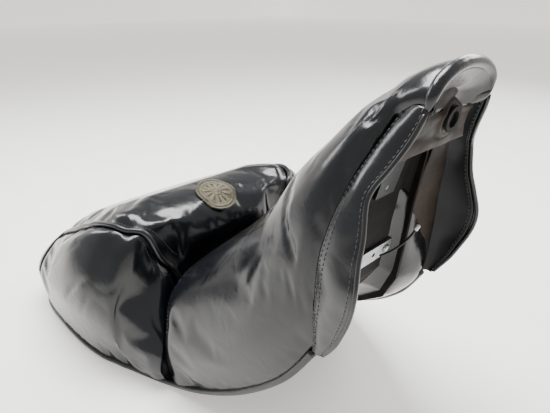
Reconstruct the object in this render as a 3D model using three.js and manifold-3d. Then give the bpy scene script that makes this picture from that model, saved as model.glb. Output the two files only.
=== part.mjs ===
// Two-up touring motorcycle seat, lying on a flat surface with its nose raised.
// Millimetres, +X towards the nose, +Y to the rider's left, +Z up, surface at z = 0.
import * as THREE from 'three';
import { mergeVertices } from 'three/addons/utils/BufferGeometryUtils.js';
import Module from 'manifold-3d';

const wasm = await Module();
wasm.setup();

// ---------------------------------------------------------------- driving dimensions
const NOSE_REACH = 296; // bucket to nose, along X
const TAIL_LENGTH = 300; // bucket to tail, along X
const NOSE_HEIGHT = 414; // top of the nose over the surface
const HALF_WIDTH = 220; // hips of the seat, half the overall width
const GAP = 0.4; // clearance between touching pieces
const COVER = 8; // padded cover, leather with its scrim foam
const PAN_WALL = 4; // moulded pan
const SKIRT_WALL = 3.2; // hanging skirt, leather on its backing
const WELT_RADIUS = 3.6; // piping
const HEM_RADIUS = 4; // rolled lower hem
const NOSE_ROLL = 6.5; // padded rim of the nose
const SLOT_BACK = 5; // rear wall of the backrest pocket
const SLOT_WIDTH = 16; // pocket for the backrest, along X
const SLOT_HALF = 74; // pocket for the backrest, half its width
const RECEIVER = { depth: 12, width: 58, height: 66, wall: 2.5, flange: 14 };
const STRAP = { width: 24, thickness: 2, height: 111 }; // webbing across the backrest pocket
const LATCH = { radius: 4, knob: 7, grip: 10, reach: 3 }; // pull pin of the backrest socket
const BUMPER = { radius: 14, height: 9 };
const BRACKET_PLATE = 3; // steel plate of every bracket
const RIVET = { radius: 5, shank: 2.5, height: 2.4 };
const BOLT = { radius: 5, shank: 3, height: 4, through: 6 };
const GROMMET = { bore: 7, radius: 11, neck: 8.5, lip: 2.2 };
const EMBLEM = { radius: 24, thickness: 1.6 };
const TIE = { thickness: 1.3, nodes: 14 };
const RAIL = { width: 16, height: 11, run: 54, side: 62 };
const SOCKET_DROP = 22; // length of the backrest socket below the pan's upper face
const LINING_WALL = 2.4; // nose lining
const STRIP_WALL = 1.8; // closing strips
const PAN_TOP = 41; // height of the pan's upper face under the pocket

// The pattern below is drawn for these sizes and stretched to the ones above.
const PATTERN = { reach: 296, tail: 300, height: 414, half: 220 };
const sx = (x) => (x > 0 ? (x * NOSE_REACH) / PATTERN.reach : (x * TAIL_LENGTH) / PATTERN.tail);
const sy = (y) => (y * HALF_WIDTH) / PATTERN.half;
const sz = (z) => (z * NOSE_HEIGHT) / PATTERN.height;

// ---------------------------------------------------------------- pattern
// Each station has the crown point, the hem point and half a section: [side, depth] pairs,
// the side from the centre line, the depth as a share of the way from crown to hem.
const station = (crown, hem, half) => ({ crown, hem, half });
const RIDER = [
  station([-60, 120], [-60, 3], [[0, 0], [80, 0.05], [125, 0.15], [158, 0.32], [172, 0.6], [166, 1]]),
  station([12, 136], [48, 4], [[0, 0], [80, 0.05], [126, 0.19], [155, 0.38], [164, 0.64], [157, 1]]),
  station([46, 162], [106, 21], [[0, 0], [80, 0.02], [124, 0.13], [149, 0.38], [153, 0.66], [139, 1]]),
  station([85, 194], [168, 58], [[0, 0], [70, 0.02], [110, 0.13], [134, 0.37], [137, 0.68], [122, 1]]),
  station([125, 234], [220, 108], [[0, 0], [60, 0.03], [97, 0.15], [120, 0.38], [124, 0.68], [107, 1]]),
  station([155, 273], [251, 160], [[0, 0], [55, 0.04], [88, 0.15], [109, 0.36], [112, 0.67], [94, 1]]),
  station([180, 312], [251, 215], [[0, 0], [48, 0.04], [78, 0.16], [99, 0.4], [106, 0.7], [98, 1]]),
  station([208, 346], [252, 270], [[0, 0], [40, 0.05], [68, 0.17], [87, 0.4], [97, 0.7], [94, 1]]),
  station([240, 380], [262, 328], [[0, 0], [32, 0.05], [53, 0.18], [67, 0.4], [75, 0.7], [73, 1]]),
  station([270, 403], [276, 374], [[0, 0], [22, 0.06], [35, 0.22], [42, 0.44], [46, 0.7], [44, 1]]),
  station([291, 412], [292, 394], [[0, 0], [14, 0.06], [23, 0.22], [28, 0.44], [30, 0.7], [29, 1]]),
];
const PILLION = [
  station([90, 60], [90, 4], [[0, 0], [90, 0], [130, 0.05], [156, 0.3], [162, 0.65], [152, 1]]),
  station([45, 90], [45, 4], [[0, 0], [90, 0], [135, 0.02], [164, 0.3], [173, 0.65], [162, 1]]),
  station([15, 118], [15, 4], [[0, 0], [85, 0], [130, -0.08], [166, 0.18], [184, 0.6], [172, 1]]),
  station([4, 136], [4, 4], [[0, 0], [85, 0], [131, -0.16], [167, 0.13], [188, 0.58], [175, 1]]),
  station([0, 166], [0, 4], [[0, 0], [85, 0], [132, -0.08], [168, 0.14], [190, 0.55], [177, 1]]),
  station([-6, 188], [-6, 4], [[0, 0], [85, 0], [133, -0.03], [169, 0.14], [193, 0.54], [180, 1]]),
  station([-22, 198], [-22, 5], [[0, 0], [85, 0], [136, -0.01], [172, 0.14], [200, 0.52], [186, 1]]),
  station([-48, 207], [-48, 6], [[0, 0], [90, 0], [140, 0.01], [178, 0.14], [209, 0.5], [196, 1]]),
  station([-90, 192], [-90, 8], [[0, 0], [95, 0], [150, 0.01], [188, 0.14], [217, 0.5], [205, 1]]),
  station([-150, 166], [-150, 9], [[0, 0], [95, 0.01], [155, 0.03], [192, 0.18], [220, 0.5], [210, 1]]),
  station([-210, 139], [-210, 6], [[0, 0], [95, 0.01], [150, 0.05], [188, 0.2], [217, 0.5], [209, 1]]),
  station([-255, 116], [-255, 2], [[0, 0], [90, 0.01], [140, 0.06], [176, 0.22], [202, 0.5], [196, 1]]),
  station([-284, 86], [-284, 0], [[0, 0], [80, 0.02], [125, 0.08], [155, 0.25], [178, 0.52], [172, 1]]),
  station([-300, 46], [-300, 4], [[0, 0], [70, 0.02], [108, 0.1], [132, 0.28], [148, 0.55], [144, 1]]),
];
// Pan: [crown X, crown Z, way down X, way down Z, half width, depth of the flange].
const PAN = [
  [272, 383, 0.22, -0.975, 20, 12],
  [254, 341, 0.4, -0.917, 42, 20],
  [239, 283, 0.506, -0.863, 52, 23],
  [232, 231, 0.59, -0.807, 55, 24],
  [222, 181, 0.65, -0.76, 60, 27],
  [195, 138, 0.61, -0.792, 78, 33],
  [147, 94, 0.536, -0.844, 102, 36],
  [93, 60, 0.4, -0.917, 122, 34],
  [26, 41, 0.12, -0.99, 142, 29],
  [-18, 41, 0, -1, 156, 27],
  [-60, 48, 0, -1, 170, 32],
  [-120, 56, 0, -1, 188, 38],
  [-200, 50, 0, -1, 189, 35],
  [-250, 40, 0, -1, 176, 30],
  [-280, 31, 0, -1, 154, 22],
];
// Plan of the cover's joints, on the left half: [x, y].
const ARC_PLAN = [[2, 84], [0, 100], [-6, 120], [-21, 140], [-48, 152], [-90, 160], [-140, 164], [-196, 165]];
const BUCKET_PLAN = [[6, 84], [13, 102], [27, 124], [43, 140], [57, 153], [61, 164], [60, 240]];
const TAIL_JOINT = -206; // joint between hip bolster and tail panel
// Lower edge of the skirt, from the hem welt up to the nose rim, and the joint it hangs from.
const SKIRT_EDGE = [
  [262, 96, 163], [279, 99, 192], [291, 102, 224], [294, 103, 248], [291, 96, 273],
  [286, 88, 299], [283, 82, 324], [289, 68, 343], [296, 55, 362], [300, 50, 376], [300, 47, 386],
];
const SKIRT_JOINT = [
  [251, 95, 162], [251, 97, 190], [251, 98, 215], [251, 97, 243], [252, 94, 270],
  [256, 86, 300], [262, 73, 328], [267, 62, 346], [273, 50, 365], [279, 42, 379], [284, 37, 387],
];
// Rim of the nose, left half, from the skirt to the top.
const NOSE_RIM = [[302, 46, 394], [302, 39, 402], [302, 26, 408], [302, 13, 411], [302, 0, 412]];
// Lining of the nose, an arch seen from the front: [side, height], and its lean along X.
const LINING_ARCH = [[57, 342], [50, 354], [43, 370], [38, 384], [28, 396], [0, 401]];
const LINING_LEAN = { low: [287, 342], high: [293.8, 401] };

// ---------------------------------------------------------------- geometry helpers
const v3 = (x, y, z) => new THREE.Vector3(x, y, z);
const place = ([x, y, z]) => v3(sx(x), sy(y), sz(z));
const mirrorY = (p) => v3(p.x, -p.y, p.z);

// Closed solid through rings of equal length. Its ends are fans, or on a thin sheet, whose ring
// goes out along one face and back along the other, strips from face to face.
function loft(rings, thin = false) {
  const count = rings[0].length;
  const points = rings.flat();
  const index = [];
  for (let i = 0; i + 1 < rings.length; i += 1) {
    for (let j = 0; j < count; j += 1) {
      const a = i * count + j;
      const b = i * count + ((j + 1) % count);
      index.push(a, b, a + count, b, b + count, a + count);
    }
  }
  const triangle = (a, b, c, flip) => index.push(...(flip ? [a, c, b] : [a, b, c]));
  const cap = (ring, offset, flip) => {
    if (thin) {
      for (let j = 0; j + 1 < count / 2; j += 1) {
        const far = count - 1 - j;
        triangle(offset + j, offset + j + 1, offset + far, flip);
        triangle(offset + j + 1, offset + far - 1, offset + far, flip);
      }
      return;
    }
    const centre = ring.reduce((sum, p) => sum.add(p), v3(0, 0, 0)).divideScalar(count);
    const hub = points.push(centre) - 1;
    for (let j = 0; j < count; j += 1) triangle(hub, offset + j, offset + ((j + 1) % count), flip);
  };
  cap(rings[0], 0, true);
  cap(rings[rings.length - 1], (rings.length - 1) * count, false);
  const geometry = new THREE.BufferGeometry();
  geometry.setAttribute('position', new THREE.Float32BufferAttribute(points.flatMap((p) => p.toArray()), 3));
  geometry.setIndex(index);
  return outward(geometry);
}

function signedVolume(geometry) {
  const position = geometry.attributes.position;
  const index = geometry.index.array;
  const [a, b, c] = [v3(0, 0, 0), v3(0, 0, 0), v3(0, 0, 0)];
  let sum = 0;
  for (let i = 0; i < index.length; i += 3) {
    a.fromBufferAttribute(position, index[i]);
    b.fromBufferAttribute(position, index[i + 1]);
    c.fromBufferAttribute(position, index[i + 2]);
    sum += a.dot(b.cross(c));
  }
  return sum;
}

// Turns the faces out where the rings ran the other way round.
function outward(geometry) {
  if (signedVolume(geometry) < 0) {
    const index = geometry.index.array;
    for (let i = 0; i < index.length; i += 3) {
      [index[i + 1], index[i + 2]] = [index[i + 2], index[i + 1]];
    }
  }
  return geometry;
}

function solid(geometry) {
  const bare = geometry.index ? geometry.clone() : geometry;
  bare.deleteAttribute('normal');
  bare.deleteAttribute('uv');
  const merged = mergeVertices(bare, 1e-4);
  return new wasm.Manifold(new wasm.Mesh({
    numProp: 3,
    vertProperties: Float32Array.from(merged.attributes.position.array),
    triVerts: Uint32Array.from(merged.index.array),
  }));
}

function geometryOf(manifold) {
  const mesh = manifold.getMesh();
  const geometry = new THREE.BufferGeometry();
  geometry.setAttribute('position', new THREE.BufferAttribute(Float32Array.from(mesh.vertProperties), 3));
  geometry.setIndex(new THREE.BufferAttribute(Uint32Array.from(mesh.triVerts), 1));
  return geometry;
}

// Moves every point of an open outline by `by`, square to its course, to the left of travel.
function offsetOutline(points, by) {
  return points.map((p, i) => {
    const before = points[Math.max(i - 1, 0)];
    const after = points[Math.min(i + 1, points.length - 1)];
    const along = [after[0] - before[0], after[1] - before[1]];
    const size = Math.hypot(...along);
    return [p[0] - (along[1] / size) * by, p[1] + (along[0] / size) * by];
  });
}

// Smooth half section in millimetres: [side, depth] from the crown to the hem.
const SECTION_STEPS = 9;
function halfSection(station, inset) {
  const crown = v3(sx(station.crown[0]), 0, sz(station.crown[1]));
  const hem = v3(sx(station.hem[0]), 0, sz(station.hem[1]));
  const depth = crown.distanceTo(hem);
  const curve = new THREE.SplineCurve(
    station.half.map(([side, share]) => new THREE.Vector2(sy(side), share * depth)),
  );
  const outline = curve.getPoints(SECTION_STEPS).map((p) => [p.x, p.y]);
  const moved = inset ? offsetOutline(outline, inset) : outline;
  return { crown, down: hem.sub(crown).normalize(), outline: moved, depth };
}

// Full ring of a station: left hem, over the crown, right hem, and across below.
function stationRing(station, inset, drop) {
  const { crown, down, outline, depth } = halfSection(station, inset);
  const at = (side, deep) => v3(crown.x + down.x * deep, side, crown.z + down.z * deep);
  const half = outline.map(([side, deep]) => [Math.max(side, 0), deep]);
  half[0][0] = 0;
  const last = half[half.length - 1];
  last[1] = depth + drop;
  const left = [...half].reverse().map(([side, deep]) => at(side, deep));
  const right = half.slice(1).map(([side, deep]) => at(-side, deep));
  return [...left, ...right, at(-last[0] / 3, last[1]), at(last[0] / 3, last[1])];
}

const BELOW = 14; // an inner form runs this far past the hem, to leave the cover open
const envelope = (stations) => loft(stations.map((s) => stationRing(s, 0, 0)));
const innerForm = (stations, inset) => loft(stations.map((s) => stationRing(s, inset, BELOW)));

// Block whose upper face follows the pan, as wide and deep as asked.
function panBlock({ inset = 0, lift = 0, widen = 0, deepen = 0, stretch = 0 }) {
  const rings = PAN.map(([x, z, dx, dz, half, depth], i) => {
    const size = Math.hypot(dx, dz);
    const down = v3(dx / size, 0, dz / size);
    const end = { 0: inset, [PAN.length - 1]: stretch - inset }[i] ?? 0;
    const along = v3(-down.z, 0, down.x);
    const top = v3(sx(x), 0, sz(z)).addScaledVector(along, -end);
    const side = sy(half) - inset + widen;
    const at = (y, deep) => v3(top.x + down.x * deep, y, top.z + down.z * deep);
    const crown = inset - lift;
    const bevel = 7;
    const foot = depth + deepen;
    return [
      at(side, foot), at(side, crown + bevel), at(side - bevel, crown), at(side / 3, crown),
      at(-side / 3, crown), at(bevel - side, crown), at(-side, crown + bevel), at(-side, foot),
    ];
  });
  return loft(rings);
}

// Upright prism over a plan outline.
const PRISM_LOW = -60;
const PRISM_HIGH = 520;
function prism(outline, low = PRISM_LOW, high = PRISM_HIGH) {
  const shape = new THREE.Shape(outline.map(([x, y]) => new THREE.Vector2(x, y)));
  const geometry = new THREE.ExtrudeGeometry(shape, { depth: high - low, bevelEnabled: false });
  return geometry.translate(0, 0, low);
}

function mirroredOutline(half) {
  return [...half.map(([x, y]) => [x, -y]).reverse(), ...half];
}

// Round rod along a smooth course.
function rod(points, radius, steps, sides = 8) {
  const curve = new THREE.CatmullRomCurve3(points, false, 'centripetal');
  const section = new THREE.Shape();
  section.absarc(0, 0, radius, 0, 2 * Math.PI, false);
  return new THREE.ExtrudeGeometry(section, {
    steps, curveSegments: sides / 2, extrudePath: curve, bevelEnabled: false,
  });
}

// Ruled sheet between two edges, with its wall turned towards `inner`.
function sheet(upper, lower, wall, bulge, inner) {
  const rings = upper.map((a, i) => {
    const b = lower[i];
    const across = b.clone().sub(a);
    const along = upper[Math.min(i + 1, upper.length - 1)].clone().sub(upper[Math.max(i - 1, 0)]);
    const normal = across.clone().cross(along).normalize();
    if (normal.dot(inner) < 0) normal.negate();
    const rim = (t, lift) => a.clone().lerp(b, t).addScaledVector(normal, lift);
    const outer = [0, 0.33, 0.67, 1].map((t) => rim(t, -bulge * Math.sin(Math.PI * t)));
    const inside = [1, 0.67, 0.33, 0].map((t) => rim(t, wall - bulge * Math.sin(Math.PI * t)));
    return [...outer, ...inside];
  });
  return loft(rings, true);
}

const group = new THREE.Group();
group.name = 'motorcycle_seat';
const MATERIALS = {
  leather: { color: 0x131419, roughness: 0.3, metalness: 0 },
  foam: { color: 0xb9ab86, roughness: 0.95, metalness: 0 },
  pan: { color: 0x17171a, roughness: 0.45, metalness: 0 },
  lining: { color: 0x4a423d, roughness: 0.7, metalness: 0 },
  steel: { color: 0xb4b6b8, roughness: 0.35, metalness: 1 },
  darkSteel: { color: 0x1b1c1f, roughness: 0.4, metalness: 0.6 },
  rubber: { color: 0x141414, roughness: 0.85, metalness: 0 },
  nylon: { color: 0x18181a, roughness: 0.5, metalness: 0 },
  thread: { color: 0x8d8148, roughness: 0.7, metalness: 0 },
};

function add(name, geometry, finish, parent = group) {
  const mesh = new THREE.Mesh(geometry, new THREE.MeshStandardMaterial(MATERIALS[finish]));
  mesh.name = name;
  parent.add(mesh);
  return mesh;
}

const SIDES = [{ tag: 'left', sign: 1 }, { tag: 'right', sign: -1 }];
const onSide = (points, sign) => (sign > 0 ? points : points.map(mirrorY));

// ---------------------------------------------------------------- surface lookups
// Height of the pillion's upper surface over a plan point, on its faceted stations.
function pillionTop(x, y) {
  const side = Math.abs(y);
  const heightOn = (station) => {
    const { crown, outline } = halfSection(station, 0);
    const k = Math.max(1, outline.findIndex(([s]) => s >= side));
    const [s0, d0] = outline[k - 1];
    const [s1, d1] = outline[k];
    const share = (side - s0) / (s1 - s0);
    return crown.z - (d0 + (d1 - d0) * share);
  };
  const next = PILLION.findIndex((s) => sx(s.crown[0]) <= x);
  const i = Math.max(1, next);
  const [a, b] = [PILLION[i - 1], PILLION[i]];
  const share = (x - sx(a.crown[0])) / (sx(b.crown[0]) - sx(a.crown[0]));
  return heightOn(a) * (1 - share) + heightOn(b) * share;
}

const hemPoint = (station) => {
  const side = station.half[station.half.length - 1][0];
  return v3(sx(station.hem[0]), sy(side), sz(station.hem[1]));
};

// ---------------------------------------------------------------- joints of the cover
const scalePlan = (plan) => plan.map(([x, y]) => [sx(x), sy(y)]);
const arcPlan = scalePlan(ARC_PLAN);
const bucketPlan = scalePlan(BUCKET_PLAN);
const farBack = -2 * TAIL_LENGTH;
const farFront = 2 * NOSE_REACH;

const regionBeyond = (line, farX) => {
  const width = line[line.length - 1][1];
  return prism([...mirroredOutline(line), [farX, width], [farX, -width]]);
};
const rearRegion = (clear) => regionBeyond(offsetOutline(bucketPlan, clear), farBack);
const frontRegion = (clear) => regionBeyond(offsetOutline(bucketPlan, -clear), farFront);
const middleRegion = (clear) => {
  const line = offsetOutline(arcPlan, clear);
  const start = [line[0][0] + NOSE_REACH, line[0][1]];
  const back = [farBack, line[line.length - 1][1]];
  return prism([...mirroredOutline([start, ...line]), back, [back[0], -back[1]]]);
};

const box = (low, high) => {
  const size = high.map((h, i) => h - low[i]);
  const geometry = new THREE.BoxGeometry(...size);
  return geometry.translate(...low.map((l, i) => l + size[i] / 2));
};

const slotBack = sx(SLOT_BACK);
const slotFront = slotBack + SLOT_WIDTH;
const slotPocket = solid(box([slotBack, -sy(SLOT_HALF), 0], [slotFront, sy(SLOT_HALF), 2 * NOSE_HEIGHT]));

// ---------------------------------------------------------------- piping and hems
const arcCourse = arcPlan.map(([x, y]) => v3(x, y, pillionTop(x, y)));
const slotCourse = [-1, -0.6, -0.2, 0.2, 0.6, 1].map((share) => {
  const y = share * (sy(SLOT_HALF) - WELT_RADIUS);
  return v3(slotBack - WELT_RADIUS * 0.5, y, sz(136) + WELT_RADIUS);
});
const hemCourse = [
  ...RIDER.slice(1, 5).reverse().map(hemPoint),
  ...PILLION.slice(4, 11).map(hemPoint),
];
const HEM_STEPS = 26;
const ARC_STEPS = 18;
const welts = [];
for (const { tag, sign } of SIDES) {
  const arc = onSide(arcCourse, sign);
  welts.push({ name: `arc_piping_${tag}`, points: arc, radius: WELT_RADIUS, steps: ARC_STEPS });
  const hem = onSide(hemCourse, sign).map((p) => p.clone().setZ(Math.max(p.z, HEM_RADIUS + 1.6)));
  welts.push({ name: `hem_piping_${tag}`, points: hem, radius: HEM_RADIUS, steps: HEM_STEPS });
}
welts.push({ name: 'slot_piping', points: slotCourse, radius: WELT_RADIUS, steps: 10 });

const grooves = welts.map(({ points, radius, steps }) => {
  const reach = [...points];
  const run = (from, to) => to.clone().sub(from).setLength(2).add(to);
  reach[0] = run(points[1], points[0]);
  reach[reach.length - 1] = run(points[points.length - 2], points[points.length - 1]);
  return solid(rod(reach, radius + GAP, steps));
});
const cutGrooves = (body) => grooves.reduce((left, groove) => left.subtract(groove), body);

// ---------------------------------------------------------------- covers
const riderForm = RIDER.slice(0, 10);
const tailEnd = PILLION.length - 1;
const pillionForm = PILLION.map((s, i) => {
  const back = i === tailEnd ? COVER : i === tailEnd - 1 ? COVER / 2 : 0;
  const shrink = (p) => [p[0] + back, p[1]];
  return { ...s, crown: shrink(s.crown), hem: shrink(s.hem) };
});
const riderShell = solid(envelope(RIDER)).subtract(solid(innerForm(riderForm, COVER)));
const pillionShell = solid(envelope(PILLION)).subtract(solid(innerForm(pillionForm, COVER)));

const panRoom = solid(panBlock({ lift: GAP, widen: GAP, deepen: BELOW }));
const riderFront = cutGrooves(riderShell.intersect(solid(frontRegion(GAP / 2))));
const riderCover = riderFront.subtract(slotPocket).subtract(panRoom);
add('rider_cover', geometryOf(riderCover), 'leather');

const pillionRear = cutGrooves(pillionShell.intersect(solid(rearRegion(GAP / 2))));
const rearShell = pillionRear.subtract(slotPocket).subtract(panRoom);
const pillionCover = rearShell.intersect(solid(middleRegion(GAP / 2)));
add('pillion_cover', geometryOf(pillionCover), 'leather');

const tailX = sx(TAIL_JOINT);
const flank = rearShell.subtract(solid(middleRegion(-GAP / 2)));
for (const { tag, sign } of SIDES) {
  const [near, far] = sign > 0 ? [0, 2 * HALF_WIDTH] : [-2 * HALF_WIDTH, 0];
  const front = solid(box([tailX + GAP / 2, near, PRISM_LOW], [farFront, far, PRISM_HIGH]));
  const back = solid(box([farBack, near, PRISM_LOW], [tailX - GAP / 2, far, PRISM_HIGH]));
  add(`hip_bolster_${tag}`, geometryOf(flank.intersect(front)), 'leather');
  add(`tail_panel_${tag}`, geometryOf(flank.intersect(back)), 'leather');
}

// ---------------------------------------------------------------- foam
const FOAM_INSET = COVER + GAP;
const underPan = solid(panBlock({ lift: GAP, widen: HALF_WIDTH, deepen: 60, stretch: 60 }));
const foamNose = RIDER.slice(0, 9);
const riderFoam = solid(innerForm(foamNose, FOAM_INSET)).intersect(solid(frontRegion(GAP)));
const pillionFoam = solid(innerForm(pillionForm, FOAM_INSET)).intersect(solid(rearRegion(GAP)));
add('rider_foam', geometryOf(riderFoam.subtract(underPan).subtract(slotPocket)), 'foam');
add('pillion_foam', geometryOf(cutGrooves(pillionFoam).subtract(underPan).subtract(slotPocket)), 'foam');

for (const welt of welts) {
  add(welt.name, rod(welt.points, welt.radius, welt.steps), 'leather');
}

// ---------------------------------------------------------------- skirts and nose
const inwards = { 1: v3(0.2, -1, 0), '-1': v3(0.2, 1, 0) };
for (const { tag, sign } of SIDES) {
  const edge = onSide(SKIRT_EDGE.map(place), sign);
  const joint = onSide(SKIRT_JOINT.map(place), sign).map((p, i) => p.lerp(edge[i], 0.12));
  add(`skirt_${tag}`, sheet(joint, edge, SKIRT_WALL, 3, inwards[sign]), 'leather');
}
const rim = NOSE_RIM.map(place);
const rimCourse = [...rim, ...rim.slice(0, -1).reverse().map(mirrorY)];
add('nose_rim', rod(rimCourse, NOSE_ROLL, 16, 10), 'leather');

// Lining that closes the nose from below, with its grommet hole.
const bore = (radius, low, high, sides = 20) => {
  const geometry = new THREE.CylinderGeometry(radius, radius, high - low, sides);
  return geometry.rotateX(Math.PI / 2).translate(0, 0, (low + high) / 2);
};
const plate = (length, width, low, high) => box(
  [-length / 2, -width / 2, low], [length / 2, width / 2, high],
);
// Turned piece from a profile of [radius, height] pairs, standing along Z.
const turned = (profile, sides) => {
  const points = profile.map(([radius, height]) => new THREE.Vector2(radius, height));
  return new THREE.LatheGeometry(points, sides).rotateX(Math.PI / 2);
};
const liningLow = place([LINING_LEAN.low[0], 0, LINING_LEAN.low[1]]);
const liningHigh = place([LINING_LEAN.high[0], 0, LINING_LEAN.high[1]]);
const liningRise = liningHigh.distanceTo(liningLow);
const liningFrame = new THREE.Group();
liningFrame.position.copy(liningLow);
liningFrame.rotation.y = Math.atan2(liningHigh.x - liningLow.x, liningHigh.z - liningLow.z);
group.add(liningFrame);
const archHeight = (z) => ((sz(z) - liningLow.z) / (liningHigh.z - liningLow.z)) * liningRise;
const archHalf = LINING_ARCH.map(([side, z]) => [sy(side) - SKIRT_WALL, archHeight(z)]);
const archOutline = [...archHalf.map(([y, z]) => [-y, z]), ...archHalf.slice(0, -1).reverse()];
const archShape = new THREE.Shape(archOutline.map(([y, z]) => new THREE.Vector2(y, z)));
const grommetAt = { y: 10, z: liningRise * 0.42 };
const archSolid = new THREE.ExtrudeGeometry(archShape, { depth: LINING_WALL, bevelEnabled: false });
const liningHole = bore(GROMMET.neck + GAP, -LINING_WALL, 2 * LINING_WALL);
liningHole.translate(grommetAt.y, grommetAt.z, 0);
// the outline is drawn flat and then stood up across the nose
const standUp = (geometry) => geometry.rotateX(Math.PI / 2).rotateZ(Math.PI / 2);
const liningBody = geometryOf(solid(archSolid).subtract(solid(liningHole)));
add('nose_lining', standUp(liningBody), 'lining', liningFrame);
const lipLow = -GROMMET.lip;
const lipHigh = LINING_WALL + GROMMET.lip;
const grommetProfile = [
  [GROMMET.bore, lipLow], [GROMMET.radius, lipLow], [GROMMET.radius, -GAP], [GROMMET.neck, -GAP],
  [GROMMET.neck, LINING_WALL + GAP], [GROMMET.radius, LINING_WALL + GAP],
  [GROMMET.radius, lipHigh], [GROMMET.bore, lipHigh], [GROMMET.bore, lipLow],
];
const grommetPlaced = turned(grommetProfile, 20).translate(grommetAt.y, grommetAt.z, 0);
add('nose_grommet', standUp(grommetPlaced), 'rubber', liningFrame);

// ---------------------------------------------------------------- pan
const panOuter = solid(panBlock({}));
const panInner = solid(panBlock({ inset: PAN_WALL, deepen: BELOW }));
const slotX = slotBack + SLOT_WIDTH / 2;
const throat = { x: RECEIVER.depth + 2 * GAP, y: RECEIVER.width + 2 * GAP };
const panTopAtSlot = sz(PAN_TOP);
const panDoor = solid(plate(throat.x, throat.y, 0, panTopAtSlot + 10).translate(slotX, 0, 0));
const boltY = RECEIVER.width / 2 + RECEIVER.flange / 2 + 1;
const boltHole = (sign, height) => solid(
  bore(BOLT.shank + GAP, -60, 60, 16).translate(slotX, sign * boltY, height),
);
const boltHoles = [1, -1].map((sign) => boltHole(sign, panTopAtSlot));
const panShell = panOuter.subtract(panInner).subtract(panDoor);
const panBody = boltHoles.reduce((left, hole) => left.subtract(hole), panShell);
add('seat_pan', geometryOf(panBody), 'pan');

// Closing strips between the pan and the hem of the rider's cover.
const STRIP_BAYS = [5, 6, 7, 8, 9];
for (const { tag, sign } of SIDES) {
  const outer = STRIP_BAYS.map((i) => hemPoint(RIDER[i]));
  const inner = STRIP_BAYS.map((i) => {
    const [x, z, dx, dz, half, depth] = PAN[9 - i];
    const reach = depth * 0.7;
    return v3(sx(x) + dx * reach, sy(half) + 1.5, sz(z) + dz * reach);
  });
  const away = v3(0.6, 0, -0.6);
  const shifted = outer.map((p, i) => p.clone().lerp(inner[i], 0.08).add(v3(3, 0, -3)));
  const strip = sheet(onSide(shifted, sign), onSide(inner, sign), STRIP_WALL, 0, away);
  add(`closing_strip_${tag}`, strip, 'lining');
}

// A group whose floor lies on the pan's lower face: X to the nose, Z away from the pan.
function bayFrame(bay, share, clear = GAP) {
  const under = (i) => {
    const [x, z, dx, dz] = PAN[i];
    const size = Math.hypot(dx, dz);
    return v3(sx(x) + (dx / size) * PAN_WALL, 0, sz(z) + (dz / size) * PAN_WALL);
  };
  const [fore, aft] = [under(bay), under(bay + 1)];
  const xAxis = fore.clone().sub(aft).normalize();
  const zAxis = v3(xAxis.z, 0, -xAxis.x);
  const yAxis = zAxis.clone().cross(xAxis);
  const frame = new THREE.Group();
  frame.quaternion.setFromRotationMatrix(new THREE.Matrix4().makeBasis(xAxis, yAxis, zAxis));
  frame.position.copy(fore.lerp(aft, share)).addScaledVector(zAxis, clear);
  group.add(frame);
  return frame;
}

const drilled = (body, holes, radius) => holes.reduce(
  (left, [x, y]) => left.subtract(solid(bore(radius, -20, 20, 16).translate(x, y, 0))), body,
);
// Plate with its holes and rivets. A flush rivet leaves the plate's face clear for what bolts to it.
function riveted({ name, frame, size, rivets, holes = [], finish, flush = false }) {
  const blank = plate(size[0], size[1], 0, BRACKET_PLATE);
  const body = drilled(solid(blank), [...rivets, ...holes], RIVET.shank + GAP);
  add(name, geometryOf(body), finish, frame);
  const head = [
    [RIVET.shank, BRACKET_PLATE + GAP], [RIVET.radius, BRACKET_PLATE + GAP],
    [RIVET.radius * 0.8, BRACKET_PLATE + RIVET.height], [0, BRACKET_PLATE + RIVET.height + 0.6],
  ];
  const flushEnd = [[RIVET.shank, BRACKET_PLATE - GAP], [0, BRACKET_PLATE - GAP]];
  const shank = [[0, -GAP / 2], [RIVET.shank, -GAP / 2]];
  rivets.forEach(([x, y], i) => {
    const rivet = turned([...shank, ...(flush ? flushEnd : head)], 14).translate(x, y, 0);
    add(`${name}_rivet_${i + 1}`, rivet, 'steel', frame);
  });
}

// Nose tongue, front cross strap, rear mounting tab.
riveted({
  name: 'nose_tongue', frame: bayFrame(1, 0.5), size: [44, 30], rivets: [[13, 0], [-13, 0]],
  finish: 'darkSteel', flush: true,
});
riveted({
  name: 'cross_strap', frame: bayFrame(3, 0.35), size: [20, 84], rivets: [[0, 34], [0, -34]],
  holes: [[0, 12], [0, -12]], finish: 'steel',
});
riveted({
  name: 'rear_tab', frame: bayFrame(12, 0.5), size: [36, 64], rivets: [[0, 24], [0, -24]],
  holes: [[0, 0]], finish: 'steel', flush: true,
});

// Stiffening rails under the bucket.
for (const { tag, sign } of SIDES) {
  const rail = plate(RAIL.run, RAIL.width, 0, RAIL.height).translate(0, sign * sy(RAIL.side), 0);
  add(`pan_rail_${tag}`, rail, 'darkSteel', bayFrame(10, 0.5, 3 * GAP));
}

// Rubber feet under the pan.
const FEET = [{ bay: 7, y: 78, tag: 'front' }, { bay: 11, y: 120, tag: 'rear' }];
for (const foot of FEET) {
  const frame = bayFrame(foot.bay, 0.5);
  for (const { tag, sign } of SIDES) {
    const profile = [
      [0, 0], [BUMPER.radius, 0], [BUMPER.radius * 0.82, BUMPER.height - 1.5],
      [BUMPER.radius * 0.7, BUMPER.height], [0, BUMPER.height],
    ];
    const pad = turned(profile, 18).translate(0, -sign * sy(foot.y), 0);
    add(`rubber_foot_${foot.tag}_${tag}`, pad, 'rubber', frame);
  }
}

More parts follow.
